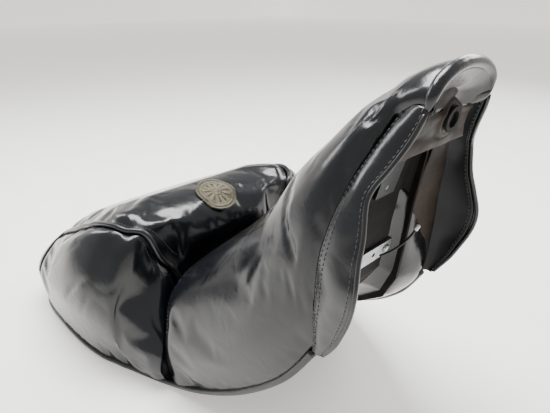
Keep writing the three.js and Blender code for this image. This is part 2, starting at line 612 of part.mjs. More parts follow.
// ---------------------------------------------------------------- backrest receiver
const receiverFrame = new THREE.Group();
receiverFrame.position.set(slotX, 0, panTopAtSlot + GAP);
group.add(receiverFrame);
const { depth: tubeDepth, width: tubeWidth, wall: tubeWall, height: tubeTop } = RECEIVER;
const hollow = { x: tubeDepth - 2 * tubeWall, y: tubeWidth - 2 * tubeWall };
const tube = plate(tubeDepth, tubeWidth, -SOCKET_DROP, tubeTop);
const boreBox = plate(hollow.x, hollow.y, -2 * SOCKET_DROP, 2 * tubeTop);
const flange = plate(tubeDepth, tubeWidth + 2 * RECEIVER.flange + 4, 0, BRACKET_PLATE);
const latchZ = -SOCKET_DROP / 2 - 2;
const bossRadius = LATCH.radius + 3;
const bossLength = 8;
const along = (geometry) => geometry.rotateY(Math.PI / 2);
const wallX = tubeDepth / 2;
const bossEnd = wallX + bossLength;
const boss = along(bore(bossRadius, wallX - 1, bossEnd)).translate(0, 0, latchZ);
const pinBore = along(bore(LATCH.radius + GAP, 0.5, bossEnd + 5)).translate(0, 0, latchZ);
const tubeBody = solid(tube).add(solid(flange)).add(solid(boss));
const openTube = tubeBody.subtract(solid(boreBox)).subtract(solid(pinBore));
const receiver = drilled(openTube, [[0, boltY], [0, -boltY]], BOLT.shank + GAP);
add('backrest_receiver', geometryOf(receiver), 'darkSteel', receiverFrame);
const headLow = BRACKET_PLATE + GAP;
const boltProfile = [
  [0, -PAN_WALL - BOLT.through], [BOLT.shank, -PAN_WALL - BOLT.through], [BOLT.shank, headLow],
  [BOLT.radius, headLow], [BOLT.radius, headLow + BOLT.height], [0, headLow + BOLT.height],
];
SIDES.forEach(({ tag, sign }) => {
  add(`receiver_bolt_${tag}`, turned(boltProfile, 12).translate(0, sign * boltY, 0), 'steel', receiverFrame);
});
// Sprung pull pin: it crosses the wall into the socket and is drawn forwards by its knob.
const pinStart = wallX - tubeWall - LATCH.reach;
const knobStart = bossEnd + GAP;
const knobEnd = knobStart + LATCH.grip;
const pinProfile = [
  [0, pinStart], [LATCH.radius, pinStart], [LATCH.radius, knobStart], [LATCH.knob, knobStart],
  [LATCH.knob, knobEnd - 2], [LATCH.knob * 0.7, knobEnd], [0, knobEnd],
];
add('latch_pin', along(turned(pinProfile, 20)).translate(0, 0, latchZ), 'steel', receiverFrame);

// ---------------------------------------------------------------- trim
// Webbing across the backrest pocket.
const strapTop = sz(STRAP.height);
const strap = plate(SLOT_WIDTH - 2 * GAP, STRAP.width, strapTop - STRAP.thickness, strapTop);
add('pocket_strap', strap.translate(slotX, sy(54), 0), 'nylon');

// Embroidered round patch, lying on the slope above the pocket.
const emblemX = sx(-27);
const slopeRun = EMBLEM.radius * 0.8;
const slope = (pillionTop(emblemX - slopeRun, 0) - pillionTop(emblemX + slopeRun, 0)) / (2 * slopeRun);
const samples = Array.from({ length: 33 }, (_, i) => (i / 16 - 1) * EMBLEM.radius);
const lift = Math.max(...samples.flatMap((dx) => samples.map(
  (dy) => pillionTop(emblemX + dx, dy) - (pillionTop(emblemX, 0) - dx * slope),
)));
const patchFrame = new THREE.Group();
patchFrame.position.set(emblemX, 0, pillionTop(emblemX, 0) + lift + GAP);
patchFrame.rotation.y = Math.atan(slope);
group.add(patchFrame);
add('emblem_patch', bore(EMBLEM.radius, 0, EMBLEM.thickness, 32), 'thread', patchFrame);

// Nylon tie left on the pan, its tail standing off the edge.
const tieFrame = bayFrame(3, 0.35, GAP + BRACKET_PLATE + GAP);
const tieTail = [[0, 6, 1.5], [6, 16, 6], [14, 26, 14], [26, 36, 19], [40, 44, 19]];
const tieLine = tieTail.map(([x, y, z]) => v3(x, -y, z + 1));
add('tie_tail', rod(tieLine, TIE.thickness, TIE.nodes), 'nylon', tieFrame);

// The origin stands under the middle of the seat.
const bounds = new THREE.Box3().setFromObject(group);
group.position.x = -(bounds.min.x + bounds.max.x) / 2;

export default group;
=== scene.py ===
"""Looks of a two-up touring motorcycle seat: padded covers, piping, skirts, stitching and hardware."""

import math

import bmesh
import bpy
import numpy as np
from bpy.props import FloatProperty, IntProperty, PointerProperty, StringProperty
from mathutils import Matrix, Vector, noise
from mathutils.bvhtree import BVHTree


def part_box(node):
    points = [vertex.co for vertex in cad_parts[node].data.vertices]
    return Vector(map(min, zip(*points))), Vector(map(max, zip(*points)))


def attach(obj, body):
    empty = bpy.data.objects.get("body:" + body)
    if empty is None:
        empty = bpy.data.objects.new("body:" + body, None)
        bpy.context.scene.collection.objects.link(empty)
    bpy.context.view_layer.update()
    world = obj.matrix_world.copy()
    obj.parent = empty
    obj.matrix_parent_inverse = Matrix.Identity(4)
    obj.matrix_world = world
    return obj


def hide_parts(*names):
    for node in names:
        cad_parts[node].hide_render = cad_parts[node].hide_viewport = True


bl_info = {
    "name": "Touring Seat Trim",
    "version": (1, 0, 0),
    "blender": (4, 5, 0),
    "location": "View3D > Sidebar > Seat",
    "description": "Builds the padded covers, piping, skirts and fittings of a touring seat",
    "category": "Object",
}

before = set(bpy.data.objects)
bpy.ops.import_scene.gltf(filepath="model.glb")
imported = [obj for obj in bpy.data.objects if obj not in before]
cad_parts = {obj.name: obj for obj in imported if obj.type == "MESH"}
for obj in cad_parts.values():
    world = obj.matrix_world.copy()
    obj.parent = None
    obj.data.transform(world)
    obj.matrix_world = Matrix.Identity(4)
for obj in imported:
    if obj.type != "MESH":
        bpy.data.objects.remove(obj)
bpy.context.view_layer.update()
SEAT = "seat"
MM = 0.001
SIDES = (("left", 1.0), ("right", -1.0))

# The pattern's zero lies under the bucket, 7 mm behind the rear wall of the backrest socket.
BUCKET_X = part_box("backrest_receiver")[0].x - 7 * MM


# ------------------------------------------------------------------------------ small helpers
def hex_rgb(code, alpha=1.0):
    """A screen colour such as #1a2b3c as the linear values a shader takes."""
    channels = [int(code[i : i + 2], 16) / 255 for i in (1, 3, 5)]
    linear = [c / 12.92 if c <= 0.04045 else ((c + 0.055) / 1.055) ** 2.4 for c in channels]
    return (*linear, alpha)


def seat_point(x, y, z):
    """A point of the seat's pattern, in millimetres, as a place in the frame."""
    return Vector((x * MM + BUCKET_X, y * MM, z * MM))


def add_node(tree, kind, values=None, links=None, **settings):
    """Adds one node, sets its properties and input values, and links its inputs."""
    made = tree.nodes.new(kind)
    for name, value in settings.items():
        setattr(made, name, value)
    for key, value in (values or {}).items():
        made.inputs[key].default_value = value
    for key, source in (links or {}).items():
        tree.links.new(source, made.inputs[key])
    return made


def spline(points, count):
    """Points evenly spread along a smooth curve through the given ones."""
    pts = [Vector(p) for p in points]
    steps = 16
    dense = []
    for i in range(len(pts) - 1):
        before, after = pts[max(i - 1, 0)], pts[min(i + 2, len(pts) - 1)]
        start, end = pts[i], pts[i + 1]
        for k in range(steps):
            t = k / steps
            bend = (2 * start - 2 * end + (end - before) / 2 + (after - start) / 2) * t**3
            lean = (-3 * start + 3 * end - (end - before) - (after - start) / 2) * t**2
            dense.append(start + (end - before) / 2 * t + lean + bend)
    dense.append(pts[-1])
    reach = [0.0]
    for a, b in zip(dense, dense[1:]):
        reach.append(reach[-1] + (b - a).length)
    array = np.array([tuple(p) for p in dense])
    at = np.linspace(0, reach[-1], count)
    return [Vector(row) for row in np.stack([np.interp(at, reach, array[:, k]) for k in range(3)], 1)]


def mesh_object(name, points, faces, edges=()):
    """A new object from points and faces."""
    mesh = bpy.data.meshes.new(name)
    mesh.from_pydata([tuple(p) for p in points], list(edges), faces)
    mesh.update()
    made = bpy.data.objects.new(name, mesh)
    bpy.context.scene.collection.objects.link(made)
    return made


def smooth(obj):
    """Smooth shading on every face."""
    obj.data.polygons.foreach_set("use_smooth", [True] * len(obj.data.polygons))
    return obj


def baked(obj):
    """Applies every modifier by replacing the mesh with the evaluated one."""
    graph = bpy.context.evaluated_depsgraph_get()
    graph.update()
    made = bpy.data.meshes.new_from_object(obj.evaluated_get(graph))
    obj.modifiers.clear()
    old = obj.data
    obj.data = made
    bpy.data.meshes.remove(old)
    return obj


def outward(obj):
    """Merges doubles and turns the faces out."""
    bm = bmesh.new()
    bm.from_mesh(obj.data)
    bmesh.ops.remove_doubles(bm, verts=bm.verts, dist=1e-6)
    bmesh.ops.recalc_face_normals(bm, faces=bm.faces)
    bm.to_mesh(obj.data)
    bm.free()
    return obj


def coordinates(obj):
    """Every point of a mesh, one row each."""
    co = np.empty(len(obj.data.vertices) * 3)
    obj.data.vertices.foreach_get("co", co)
    return co.reshape(-1, 3)


def move_to(obj, co):
    """Puts every point of a mesh at its row."""
    obj.data.vertices.foreach_set("co", np.ascontiguousarray(co, dtype=np.float64).ravel())
    obj.data.update()


def normals(obj):
    """The surface's direction at every point of a mesh, one row each."""
    no = np.empty(len(obj.data.vertices) * 3)
    obj.data.vertex_normals.foreach_get("vector", no)
    return no.reshape(-1, 3)


def finish_piece(obj, body, slot, material, *nodes):
    """Gives a piece its material, its body and the CAD nodes it stands for."""
    obj.data.materials.clear()
    obj.data.materials.append(material)
    smooth(obj)
    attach(obj, body)
    if nodes:
        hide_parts(*nodes)
    return obj


def neighbours(obj):
    """Edge list and the number of edges at each point."""
    edges = np.empty(len(obj.data.edges) * 2, dtype=np.int64)
    obj.data.edges.foreach_get("vertices", edges)
    edges = edges.reshape(-1, 2)
    degree = np.bincount(edges.ravel(), minlength=len(obj.data.vertices)).astype(float)
    return edges, np.maximum(degree, 1)


def relax(obj, rounds, held):
    """Evens out the facets: smoothing with every second step pushed back, so the form hardly shrinks."""
    smoothing, pushing_back = 0.5, -0.52
    edges, degree = neighbours(obj)
    co = coordinates(obj)
    free = np.where(held, 0.0, 1.0)[:, None]
    for step in range(rounds * 2):
        total = np.zeros_like(co)
        np.add.at(total, edges[:, 0], co[edges[:, 1]])
        np.add.at(total, edges[:, 1], co[edges[:, 0]])
        pull = total / degree[:, None] - co
        co += pull * (pushing_back if step % 2 else smoothing) * free
    move_to(obj, co)


def inflate(obj, cap, pressure, held, slack):
    """Swells leather over its stuffing, pinned at its seams, with no point moving further than cap."""
    rest = coordinates(obj)
    frames = 20
    group = obj.vertex_groups.new(name="held")
    group.add(np.flatnonzero(held).tolist(), 1.0, "REPLACE")
    cloth = obj.modifiers.new("stuffing", "CLOTH")
    settings = cloth.settings
    settings.quality = 6
    settings.mass = 0.4
    settings.tension_stiffness = 20
    settings.compression_stiffness = 20
    settings.shear_stiffness = 8
    settings.bending_stiffness = 2.0
    settings.use_pressure = True
    settings.uniform_pressure_force = pressure
    settings.shrink_min = -slack
    settings.vertex_group_mass = "held"
    settings.effector_weights.gravity = 0
    cloth.collision_settings.use_self_collision = False
    cloth.point_cache.frame_start = 1
    cloth.point_cache.frame_end = frames
    scene = bpy.context.scene
    for step in range(1, frames + 1):
        scene.frame_set(step)
    graph = bpy.context.evaluated_depsgraph_get()
    swollen = obj.evaluated_get(graph)
    moved = np.empty(len(rest) * 3)
    swollen.data.vertices.foreach_get("co", moved)
    obj.modifiers.clear()
    obj.vertex_groups.clear()
    scene.frame_set(1)
    move = moved.reshape(-1, 3) - rest
    size = np.linalg.norm(move, axis=1)
    limit = np.minimum(1.0, cap / np.maximum(size, 1e-9))
    move_to(obj, rest + move * limit[:, None])


def subdivide(obj):
    """Rounds a mesh with one level of subdivision."""
    modifier = obj.modifiers.new("surface", "SUBSURF")
    modifier.levels = 1
    modifier.render_levels = 1
    return baked(obj)


def seek(*objs):
    """A search tree over several meshes together."""
    bm = bmesh.new()
    for obj in objs:
        bm.from_mesh(obj.data)
    tree = BVHTree.FromBMesh(bm)
    bm.free()
    return tree


def distance_along(co, path):
    """For each point, its distance from a path, and the place along the path nearest to it (0 to 1)."""
    pts = np.array([tuple(p) for p in path])
    best = np.full(len(co), np.inf)
    where = np.zeros(len(co))
    for i in range(len(pts) - 1):
        a, d = pts[i], pts[i + 1] - pts[i]
        t = np.clip(((co - a) @ d) / max(d @ d, 1e-12), 0, 1)
        away = np.linalg.norm(co - (a + t[:, None] * d), axis=1)
        nearer = away < best
        best[nearer] = away[nearer]
        where[nearer] = (i + t[nearer]) / (len(pts) - 1)
    return best, where


def groove(obj, path, width, depth, fade):
    """Presses a soft valley into a surface along a path; it dies out over a share of the path at each end."""
    co = coordinates(obj)
    away, where = distance_along(co, path)
    press = depth * np.exp(-((away / width) ** 2))
    press *= np.clip(where / fade, 0, 1) * np.clip((1 - where) / fade, 0, 1)
    move_to(obj, co - normals(obj) * press[:, None])


def rod(name, path, radius, sides=10):
    """A round rod along a path, with domed ends; radius is one size, or one for each point."""
    dome = 0.6
    count = len(path)
    points, faces = [], []
    tangents = [(path[min(i + 1, count - 1)] - path[max(i - 1, 0)]).normalized() for i in range(count)]
    side = tangents[0].orthogonal().normalized()
    radii = radius if hasattr(radius, "__len__") else [radius] * count
    for place, tangent, size in zip(path, tangents, radii):
        side = (side - tangent * side.dot(tangent)).normalized()
        other = tangent.cross(side)
        for k in range(sides):
            angle = 2 * math.pi * k / sides
            points.append(place + (side * math.cos(angle) + other * math.sin(angle)) * size)
    for i in range(count - 1):
        for k in range(sides):
            a, b = i * sides + k, i * sides + (k + 1) % sides
            faces.append((a, b, b + sides, a + sides))
    points.append(path[0] - tangents[0] * radii[0] * dome)
    points.append(path[-1] + tangents[-1] * radii[-1] * dome)
    for k in range(sides):
        faces.append((len(points) - 2, (k + 1) % sides, k))
        last = (count - 1) * sides
        faces.append((len(points) - 1, last + k, last + (k + 1) % sides))
    return outward(mesh_object(name, points, faces))


# ------------------------------------------------------------------------------ the seat's pattern
# Each station is its crown point, its hem point and half a section: the side from the centre line
# and the depth as a share of the way from crown to hem. Millimetres in the pattern's own frame.
RIDER = (
    ((-60, 120), (-60, 3), ((0, 0), (80, 0.05), (125, 0.15), (158, 0.32), (172, 0.6), (166, 1))),
    ((12, 136), (48, 4), ((0, 0), (80, 0.05), (126, 0.19), (155, 0.38), (164, 0.64), (157, 1))),
    ((46, 162), (106, 21), ((0, 0), (80, 0.02), (124, 0.13), (149, 0.38), (153, 0.66), (139, 1))),
    ((85, 194), (168, 58), ((0, 0), (70, 0.02), (110, 0.13), (134, 0.37), (137, 0.68), (122, 1))),
    ((125, 234), (220, 108), ((0, 0), (60, 0.03), (97, 0.15), (120, 0.38), (124, 0.68), (107, 1))),
    ((155, 273), (251, 160), ((0, 0), (55, 0.04), (88, 0.15), (109, 0.36), (112, 0.67), (94, 1))),
    ((180, 312), (251, 215), ((0, 0), (48, 0.04), (78, 0.16), (99, 0.4), (106, 0.7), (98, 1))),
    ((208, 346), (252, 270), ((0, 0), (40, 0.05), (68, 0.17), (87, 0.4), (97, 0.7), (94, 1))),
    ((240, 380), (262, 328), ((0, 0), (32, 0.05), (53, 0.18), (67, 0.4), (75, 0.7), (73, 1))),
    ((270, 403), (276, 374), ((0, 0), (22, 0.06), (35, 0.22), (42, 0.44), (46, 0.7), (44, 1))),
    ((291, 412), (292, 394), ((0, 0), (14, 0.06), (23, 0.22), (28, 0.44), (30, 0.7), (29, 1))),
)
PILLION = (
    ((90, 60), (90, 4), ((0, 0), (90, 0), (130, 0.05), (156, 0.3), (162, 0.65), (152, 1))),
    ((45, 90), (45, 4), ((0, 0), (90, 0), (135, 0.02), (164, 0.3), (173, 0.65), (162, 1))),
    ((15, 118), (15, 4), ((0, 0), (85, 0), (130, -0.08), (166, 0.18), (184, 0.6), (172, 1))),
    ((4, 136), (4, 4), ((0, 0), (85, 0), (131, -0.16), (167, 0.13), (188, 0.58), (175, 1))),
    ((0, 166), (0, 4), ((0, 0), (85, 0), (132, -0.08), (168, 0.14), (190, 0.55), (177, 1))),
    ((-6, 188), (-6, 4), ((0, 0), (85, 0), (133, -0.03), (169, 0.14), (193, 0.54), (180, 1))),
    ((-22, 198), (-22, 5), ((0, 0), (85, 0), (136, -0.01), (172, 0.14), (200, 0.52), (186, 1))),
    ((-48, 207), (-48, 6), ((0, 0), (90, 0), (140, 0.01), (178, 0.14), (209, 0.5), (196, 1))),
    ((-90, 192), (-90, 8), ((0, 0), (95, 0), (150, 0.01), (188, 0.14), (217, 0.5), (205, 1))),
    ((-150, 166), (-150, 9), ((0, 0), (95, 0.01), (155, 0.03), (192, 0.18), (220, 0.5), (210, 1))),
    ((-210, 139), (-210, 6), ((0, 0), (95, 0.01), (150, 0.05), (188, 0.2), (217, 0.5), (209, 1))),
    ((-255, 116), (-255, 2), ((0, 0), (90, 0.01), (140, 0.06), (176, 0.22), (202, 0.5), (196, 1))),
    ((-284, 86), (-284, 0), ((0, 0), (80, 0.02), (125, 0.08), (155, 0.25), (178, 0.52), (172, 1))),
    ((-300, 46), (-300, 4), ((0, 0), (70, 0.02), (108, 0.1), (132, 0.28), (148, 0.55), (144, 1))),
)
# Plan courses: the arc piping beside the passenger's panel, and the joint between the two cushions.
ARC = (
    (2, 84), (0, 100), (-6, 120), (-21, 140), (-48, 152), (-90, 160), (-140, 164), (-196, 165), (-292, 150),
)
BUCKET = ((6, 0), (6, 84), (13, 102), (27, 124), (43, 140), (57, 153), (61, 164), (60, 240))
# The backrest pocket's front edge and half width, and the place of the seam before the tail panels.
POCKET_FRONT, POCKET_HALF = 21, 74
TAIL_JOINT = -206
# How high the covers end inside the bucket joint, and a distance that no seam's pull reaches.
JOINT_FLOOR = 62 * MM
BEYOND_SEAMS = 200
# Courses in space: the skirts' two long edges, the nose from its side to its middle, and the hem.
SKIRT_EDGE = (
    (262, 96, 163), (279, 99, 192), (291, 102, 224), (294, 103, 248), (291, 96, 273), (286, 88, 299),
    (283, 82, 324), (289, 68, 343), (296, 55, 362), (300, 50, 376), (300, 47, 386),
)
SKIRT_JOINT = (
    (251, 95, 162), (251, 97, 190), (251, 98, 215), (251, 97, 243), (252, 94, 270), (256, 86, 300),
    (262, 73, 328), (267, 62, 346), (273, 50, 365), (279, 42, 379), (284, 37, 387),
)
NOSE_RIM = ((300, 47, 384), (302, 46, 394), (302, 39, 402), (302, 26, 408), (302, 13, 411), (302, 0, 412))
# Half width of the nose lining at each height.
LINING_ARCH = ((57, 342), (52, 356), (49, 372), (46, 385), (38, 397), (20, 404), (4, 406))
HEM_COURSE = (
    (250, 96, 158), (220, 107, 108), (168, 122, 58), (106, 139, 21), (48, 157, 4), (0, 177, 4),
    (-6, 180, 4),
    (-22, 186, 5), (-48, 196, 6), (-90, 205, 8), (-150, 210, 9), (-210, 209, 6),
    (-252, 197, 5), (-281, 173, 5), (-296, 146, 5), (-301, 110, 5), (-302, 50, 5), (-302, 0, 5),
)
# The lowest height of the hem roll's centre.
HEM_LOWEST = 5.6
# The long edges of a closing strip, along the hem and along the pan.
STRIP_HEM = ((251, 94, 160), (251, 98, 215), (252, 94, 270), (262, 73, 328), (276, 44, 374))
STRIP_PAN = ((214, 78, 168), (236, 55, 222), (246, 52, 276), (262, 42, 333), (276, 22, 372))
# Creases pressed into the rider's cushion and into the hip bolsters, on the right side.
CREASES = (
    ((43, -130, 97), (76, -115, 125), (108, -95, 159), (125, -75, 184), (159, -50, 222), (187, -30, 268)),
    ((187, -30, 268), (209, -15, 311), (230, 0, 362)),
    ((96, -126, 118), (128, -104, 160), (152, -86, 200), (176, -66, 246)),
    ((150, -112, 170), (176, -98, 214), (196, -80, 262), (214, -60, 306)),
)
BOLSTER_CREASES = (
    ((-20, -196, 150), (-52, -208, 128), (-84, -216, 92)),
    ((8, -178, 160), (-24, -202, 126), (-50, -212, 84)),
    ((34, -160, 128), (22, -178, 104), (6, -186, 70)),
    ((-70, -186, 176), (-104, -206, 150), (-138, -216, 112)),
    ((-118, -184, 162), (-150, -202, 142), (-176, -214, 108)),
)


def between(before, start, end, after, share):
    """The smooth run from start to end, read at a share of the way."""
    lean, leave = (end - before) / 2, (after - start) / 2
    bend = (2 * start - 2 * end + lean + leave) * share**3
    return bend + (-3 * start + 3 * end - 2 * lean - leave) * share**2 + lean * share + start


def through(rows, place):
    """Smooth run through rows of numbers, read at places counted in rows."""
    rows = np.asarray(rows, dtype=float)
    first = np.clip(np.floor(place).astype(int), 0, len(rows) - 2)
    share = (place - first)[..., None]
    before, after = rows[np.maximum(first - 1, 0)], rows[np.minimum(first + 2, len(rows) - 1)]
    return between(before, rows[first], rows[first + 1], after, share)


def skin(stations, along, across):
    """Points of the skin: along counts stations, across runs from -1 at the right hem to 1 at the left."""
    last = len(stations[0][2]) - 1
    flat = [(*crown, *hem, *(n for pair in half for n in pair)) for crown, hem, half in stations]
    rows = through(flat, along)
    crown, hem, half = rows[..., 0:2], rows[..., 2:4], rows[..., 4:].reshape(*rows.shape[:-1], last + 1, 2)
    place = np.abs(across) * last
    first = np.clip(np.floor(place).astype(int), 0, last - 1)
    share = (place - first)[..., None]

    def pick(index):
        return np.take_along_axis(half, index[..., None, None], axis=-2)[..., 0, :]

    before, start = pick(np.maximum(first - 1, 0)), pick(first)
    end, after = pick(first + 1), pick(np.minimum(first + 2, last))
    # the section is level where it crosses the centre line
    before = np.where((first == 0)[..., None], end * np.array([-1.0, 1.0]), before)
    side = between(before, start, end, after, share)
    place = crown + (hem - crown) * side[..., 1:2]
    y = np.maximum(side[..., 0], 0) * np.sign(across)
    return np.stack([place[..., 0], y, place[..., 1]], axis=-1)


def patch_grid(stations, line, rows, columns, forward):
    """Even grid of skin points from the joint line to the end of the stations, in millimetres."""
    fine = np.linspace(-1, 1, 401)
    middle = skin(stations, np.full(len(fine), len(stations) * 0.45), fine)
    reach = np.concatenate([[0], np.cumsum(np.linalg.norm(np.diff(middle, axis=0), axis=1))])
    across = np.interp(np.linspace(0, reach[-1], columns), reach, fine)
    steps = np.linspace(0, len(stations) - 1, 60 * len(stations))
    points = skin(stations, steps[:, None] + 0 * across[None, :], across[None, :] + 0 * steps[:, None])
    beyond = points[..., 0] - line(np.abs(points[..., 1]))
    grid = np.empty((rows, columns, 3))
    for column in range(columns):
        passed = beyond[:, column] >= 0 if forward else beyond[:, column] <= 0
        start = int(np.argmax(passed))
        if start:
            a, b = beyond[start - 1, column], beyond[start, column]
            first = steps[start - 1] + (steps[start] - steps[start - 1]) * a / (a - b)
        else:
            first = steps[0]
        path = np.concatenate([[first], steps[start:]])
        run = skin(stations, path, np.full(len(path), across[column]))
        length = np.concatenate([[0], np.cumsum(np.linalg.norm(np.diff(run, axis=0), axis=1))])
        at = np.interp(np.linspace(0, length[-1], rows), length, path)
        grid[:, column] = skin(stations, at, np.full(rows, across[column]))
    return grid


def bucket_line(side):
    """How far forward the bucket joint lies, at a distance from the centre line."""
    xs, ys = np.array(BUCKET, dtype=float).T
    return np.interp(side, ys, xs)


def rider_line(side):
    """Rear edge of the rider's cover: the bucket joint, stepped forward at the backrest pocket."""
    step = np.clip((POCKET_HALF + 8 - side) / 10, 0, 1)
    return bucket_line(side) * (1 - step) + POCKET_FRONT * step


def to_frame(points):
    """Pattern millimetres to the frame's metres, for an array of points."""
    return np.asarray(points, dtype=float) * MM + np.array([BUCKET_X, 0, 0])


def mirrored(points):
    """The same points on the right-hand side."""
    return [(x, -y, z) for x, y, z in points]


def grid_normals(grid):
    """Outward normals of a grid whose rows run along the seat and columns across it."""
    along = np.gradient(grid, axis=0)
    across = np.gradient(grid, axis=1)
    normal = np.cross(along, across)
    normal /= np.maximum(np.linalg.norm(normal, axis=-1, keepdims=True), 1e-12)
    if normal[len(grid) // 2, grid.shape[1] // 2, 2] < 0:
        normal = -normal
    return normal


def plan_distance(points, path):
    """Distance in plan from points to a path, and the way along it to the nearest place, in its own unit."""
    path = np.asarray(path, dtype=float)
    best = np.full(points.shape[:-1], np.inf)
    where = np.zeros(points.shape[:-1])
    travelled = 0.0
    for a, b in zip(path, path[1:]):
        step = b - a
        size = float(np.hypot(*step))
        t = np.clip(((points - a) @ step) / size**2, 0, 1)
        away = np.linalg.norm(points - (a + t[..., None] * step), axis=-1)
        nearer = away < best
        best = np.where(nearer, away, best)
        where = np.where(nearer, travelled + t * size, where)
        travelled += size
    return best, where


def surface_reach(grid):
    """For each point of a grid, the way along the seat from the first row, and across to the nearer hem."""
    rows, columns = grid.shape[:2]
    row_step = np.linalg.norm(np.diff(grid, axis=0), axis=-1)
    run = np.concatenate([np.zeros((1, columns)), np.cumsum(row_step, axis=0)])
    side_step = np.linalg.norm(np.diff(grid, axis=1), axis=-1)
    width = np.concatenate([np.zeros((rows, 1)), np.cumsum(side_step, axis=1)], axis=1)
    return run, np.minimum(width, width[:, -1:] - width)


def rumple(points, scale, seed):
    """Smooth noise at each point, from -1 to 1."""
    shift = Vector((seed * 17.3, seed * 5.1, seed * 9.7))
    values = [noise.noise(Vector(p) * scale + shift) for p in points.reshape(-1, 3)]
    return np.array(values).reshape(points.shape[:-1])


def grid_object(name, grid):
    """An open surface over a grid of points, facing up."""
    rows, columns = grid.shape[:2]
    faces = [
        (r * columns + c, r * columns + c + 1, (r + 1) * columns + c + 1, (r + 1) * columns + c)
        for r in range(rows - 1)
        for c in range(columns - 1)
    ]
    made = mesh_object(name, grid.reshape(-1, 3), faces)
    middle = made.data.polygons[(rows // 2) * (columns - 1) + columns // 2]
    if middle.normal.z < 0:
        made.data.flip_normals()
    return made


def closed_rings(name, rings, hub_first, hub_last):
    """A closed form through rings of equal length, its ends drawn to a hub."""
    rings = np.asarray(rings)
    count = rings.shape[1]
    points = [tuple(p) for p in rings.reshape(-1, 3)]
    faces = []
    for r in range(len(rings) - 1):
        for c in range(count):
            d = (c + 1) % count
            faces.append((r * count + c, r * count + d, (r + 1) * count + d, (r + 1) * count + c))
    last = (len(rings) - 1) * count
    points += [tuple(hub_first), tuple(hub_last)]
    for c in range(count):
        d = (c + 1) % count
        faces.append((len(points) - 2, d, c))
        faces.append((len(points) - 1, last + c, last + d))
    return outward(mesh_object(name, points, faces))


# ------------------------------------------------------------------------------ finishes
def material(name, metallic=0.0, coat=0.0, coat_roughness=0.1, sheen=0.0, specular=0.5, ior=1.5):
    """A new material with its shader, its tree and a texture coordinate node."""
    made = bpy.data.materials.new(name)
    made.use_nodes = True
    tree = made.node_tree
    tree.nodes.clear()
    shader = add_node(
        tree,
        "ShaderNodeBsdfPrincipled",
        {
            "Metallic": metallic,
            "Coat Weight": coat,
            "Coat Roughness": coat_roughness,
            "Sheen Weight": sheen,
            "Specular IOR Level": specular,
            "IOR": ior,
        },
    )
    add_node(tree, "ShaderNodeOutputMaterial", links={"Surface": shader.outputs["BSDF"]})
    place = add_node(tree, "ShaderNodeTexCoord")
    return made, tree, shader, place


def tone(tree, shader, factor, low, high, name="Base Color", start=0.3, end=0.7):
    """Leads a pattern into a socket through a ramp between two tones or two values."""
    if name == "Base Color":
        colours = (hex_rgb(low), hex_rgb(high))
    else:
        colours = ((low, low, low, 1), (high, high, high, 1))
    ramp = add_node(tree, "ShaderNodeValToRGB", links={"Fac": factor})
    for element, place, colour in zip(ramp.color_ramp.elements, (start, end), colours):
        element.position = place
        element.color = colour
    tree.links.new(ramp.outputs["Color"], shader.inputs[name])
    return ramp


def bump(tree, shader, height, depth, strength=1.0, below=None):
    """Adds relief of a depth in metres, over any relief already made."""
    made = add_node(tree, "ShaderNodeBump", {"Distance": depth, "Strength": strength}, {"Height": height})
    if below is not None:
        tree.links.new(below.outputs["Normal"], made.inputs["Normal"])
    tree.links.new(made.outputs["Normal"], shader.inputs["Normal"])
    return made


def pattern(tree, place, kind, scale, output, coordinate="Object", stretch=None, **values):
    """A texture on the piece's own coordinates; scale counts repeats in a metre."""
    links = {"Vector": place.outputs[coordinate]}
    if stretch:
        turned = add_node(tree, "ShaderNodeMapping", {"Scale": stretch}, links)
        links = {"Vector": turned.outputs["Vector"]}
    settings = values.pop("settings", {})
    node = add_node(tree, kind, {"Scale": scale, **values}, links, **settings)
    return node.outputs[output]


def leather_finish(name, dark, light, rough_low, rough_high, crease=0.0006, coat=0.14, specular=0.42):
    """Upholstery leather: pebbled grain of about a millimetre, fine wrinkles and patchy gloss."""
    made, tree, shader, place = material(name, coat=coat, coat_roughness=0.1, specular=specular)
    cloud = pattern(tree, place, "ShaderNodeTexNoise", 18.0, "Fac", Detail=5.0)
    tone(tree, shader, cloud, dark, light)
    wear = pattern(tree, place, "ShaderNodeTexNoise", 45.0, "Fac", Detail=6.0, Roughness=0.6)
    tone(tree, shader, wear, rough_low, rough_high, "Roughness")
    wrinkle = pattern(tree, place, "ShaderNodeTexNoise", 34.0, "Fac", Detail=3.0, Distortion=1.6)
    folds = bump(tree, shader, wrinkle, crease, 0.5)
    grain = pattern(
        tree, place, "ShaderNodeTexVoronoi", 850.0, "Distance", settings={"feature": "DISTANCE_TO_EDGE"}
    )
    edge = add_node(tree, "ShaderNodeMapRange", {"From Max": 0.25}, {"Value": grain})
    bump(tree, shader, edge.outputs["Result"], 0.00004, 0.3, folds)
    return made


def moulded_finish(name, dark, light, rough_low, rough_high, grain=420.0, depth=0.00008, specular=0.4):
    """Moulded plastic or rubber: fine spark texture and slight flow marks."""
    made, tree, shader, place = material(name, specular=specular)
    flow = pattern(tree, place, "ShaderNodeTexNoise", 14.0, "Fac", Detail=6.0, stretch=(1, 1, 4))
    tone(tree, shader, flow, dark, light)
    spark = pattern(tree, place, "ShaderNodeTexNoise", grain, "Fac", Detail=3.0)
    tone(tree, shader, flow, rough_low, rough_high, "Roughness")
    bump(tree, shader, spark, depth, 0.7)
    return made


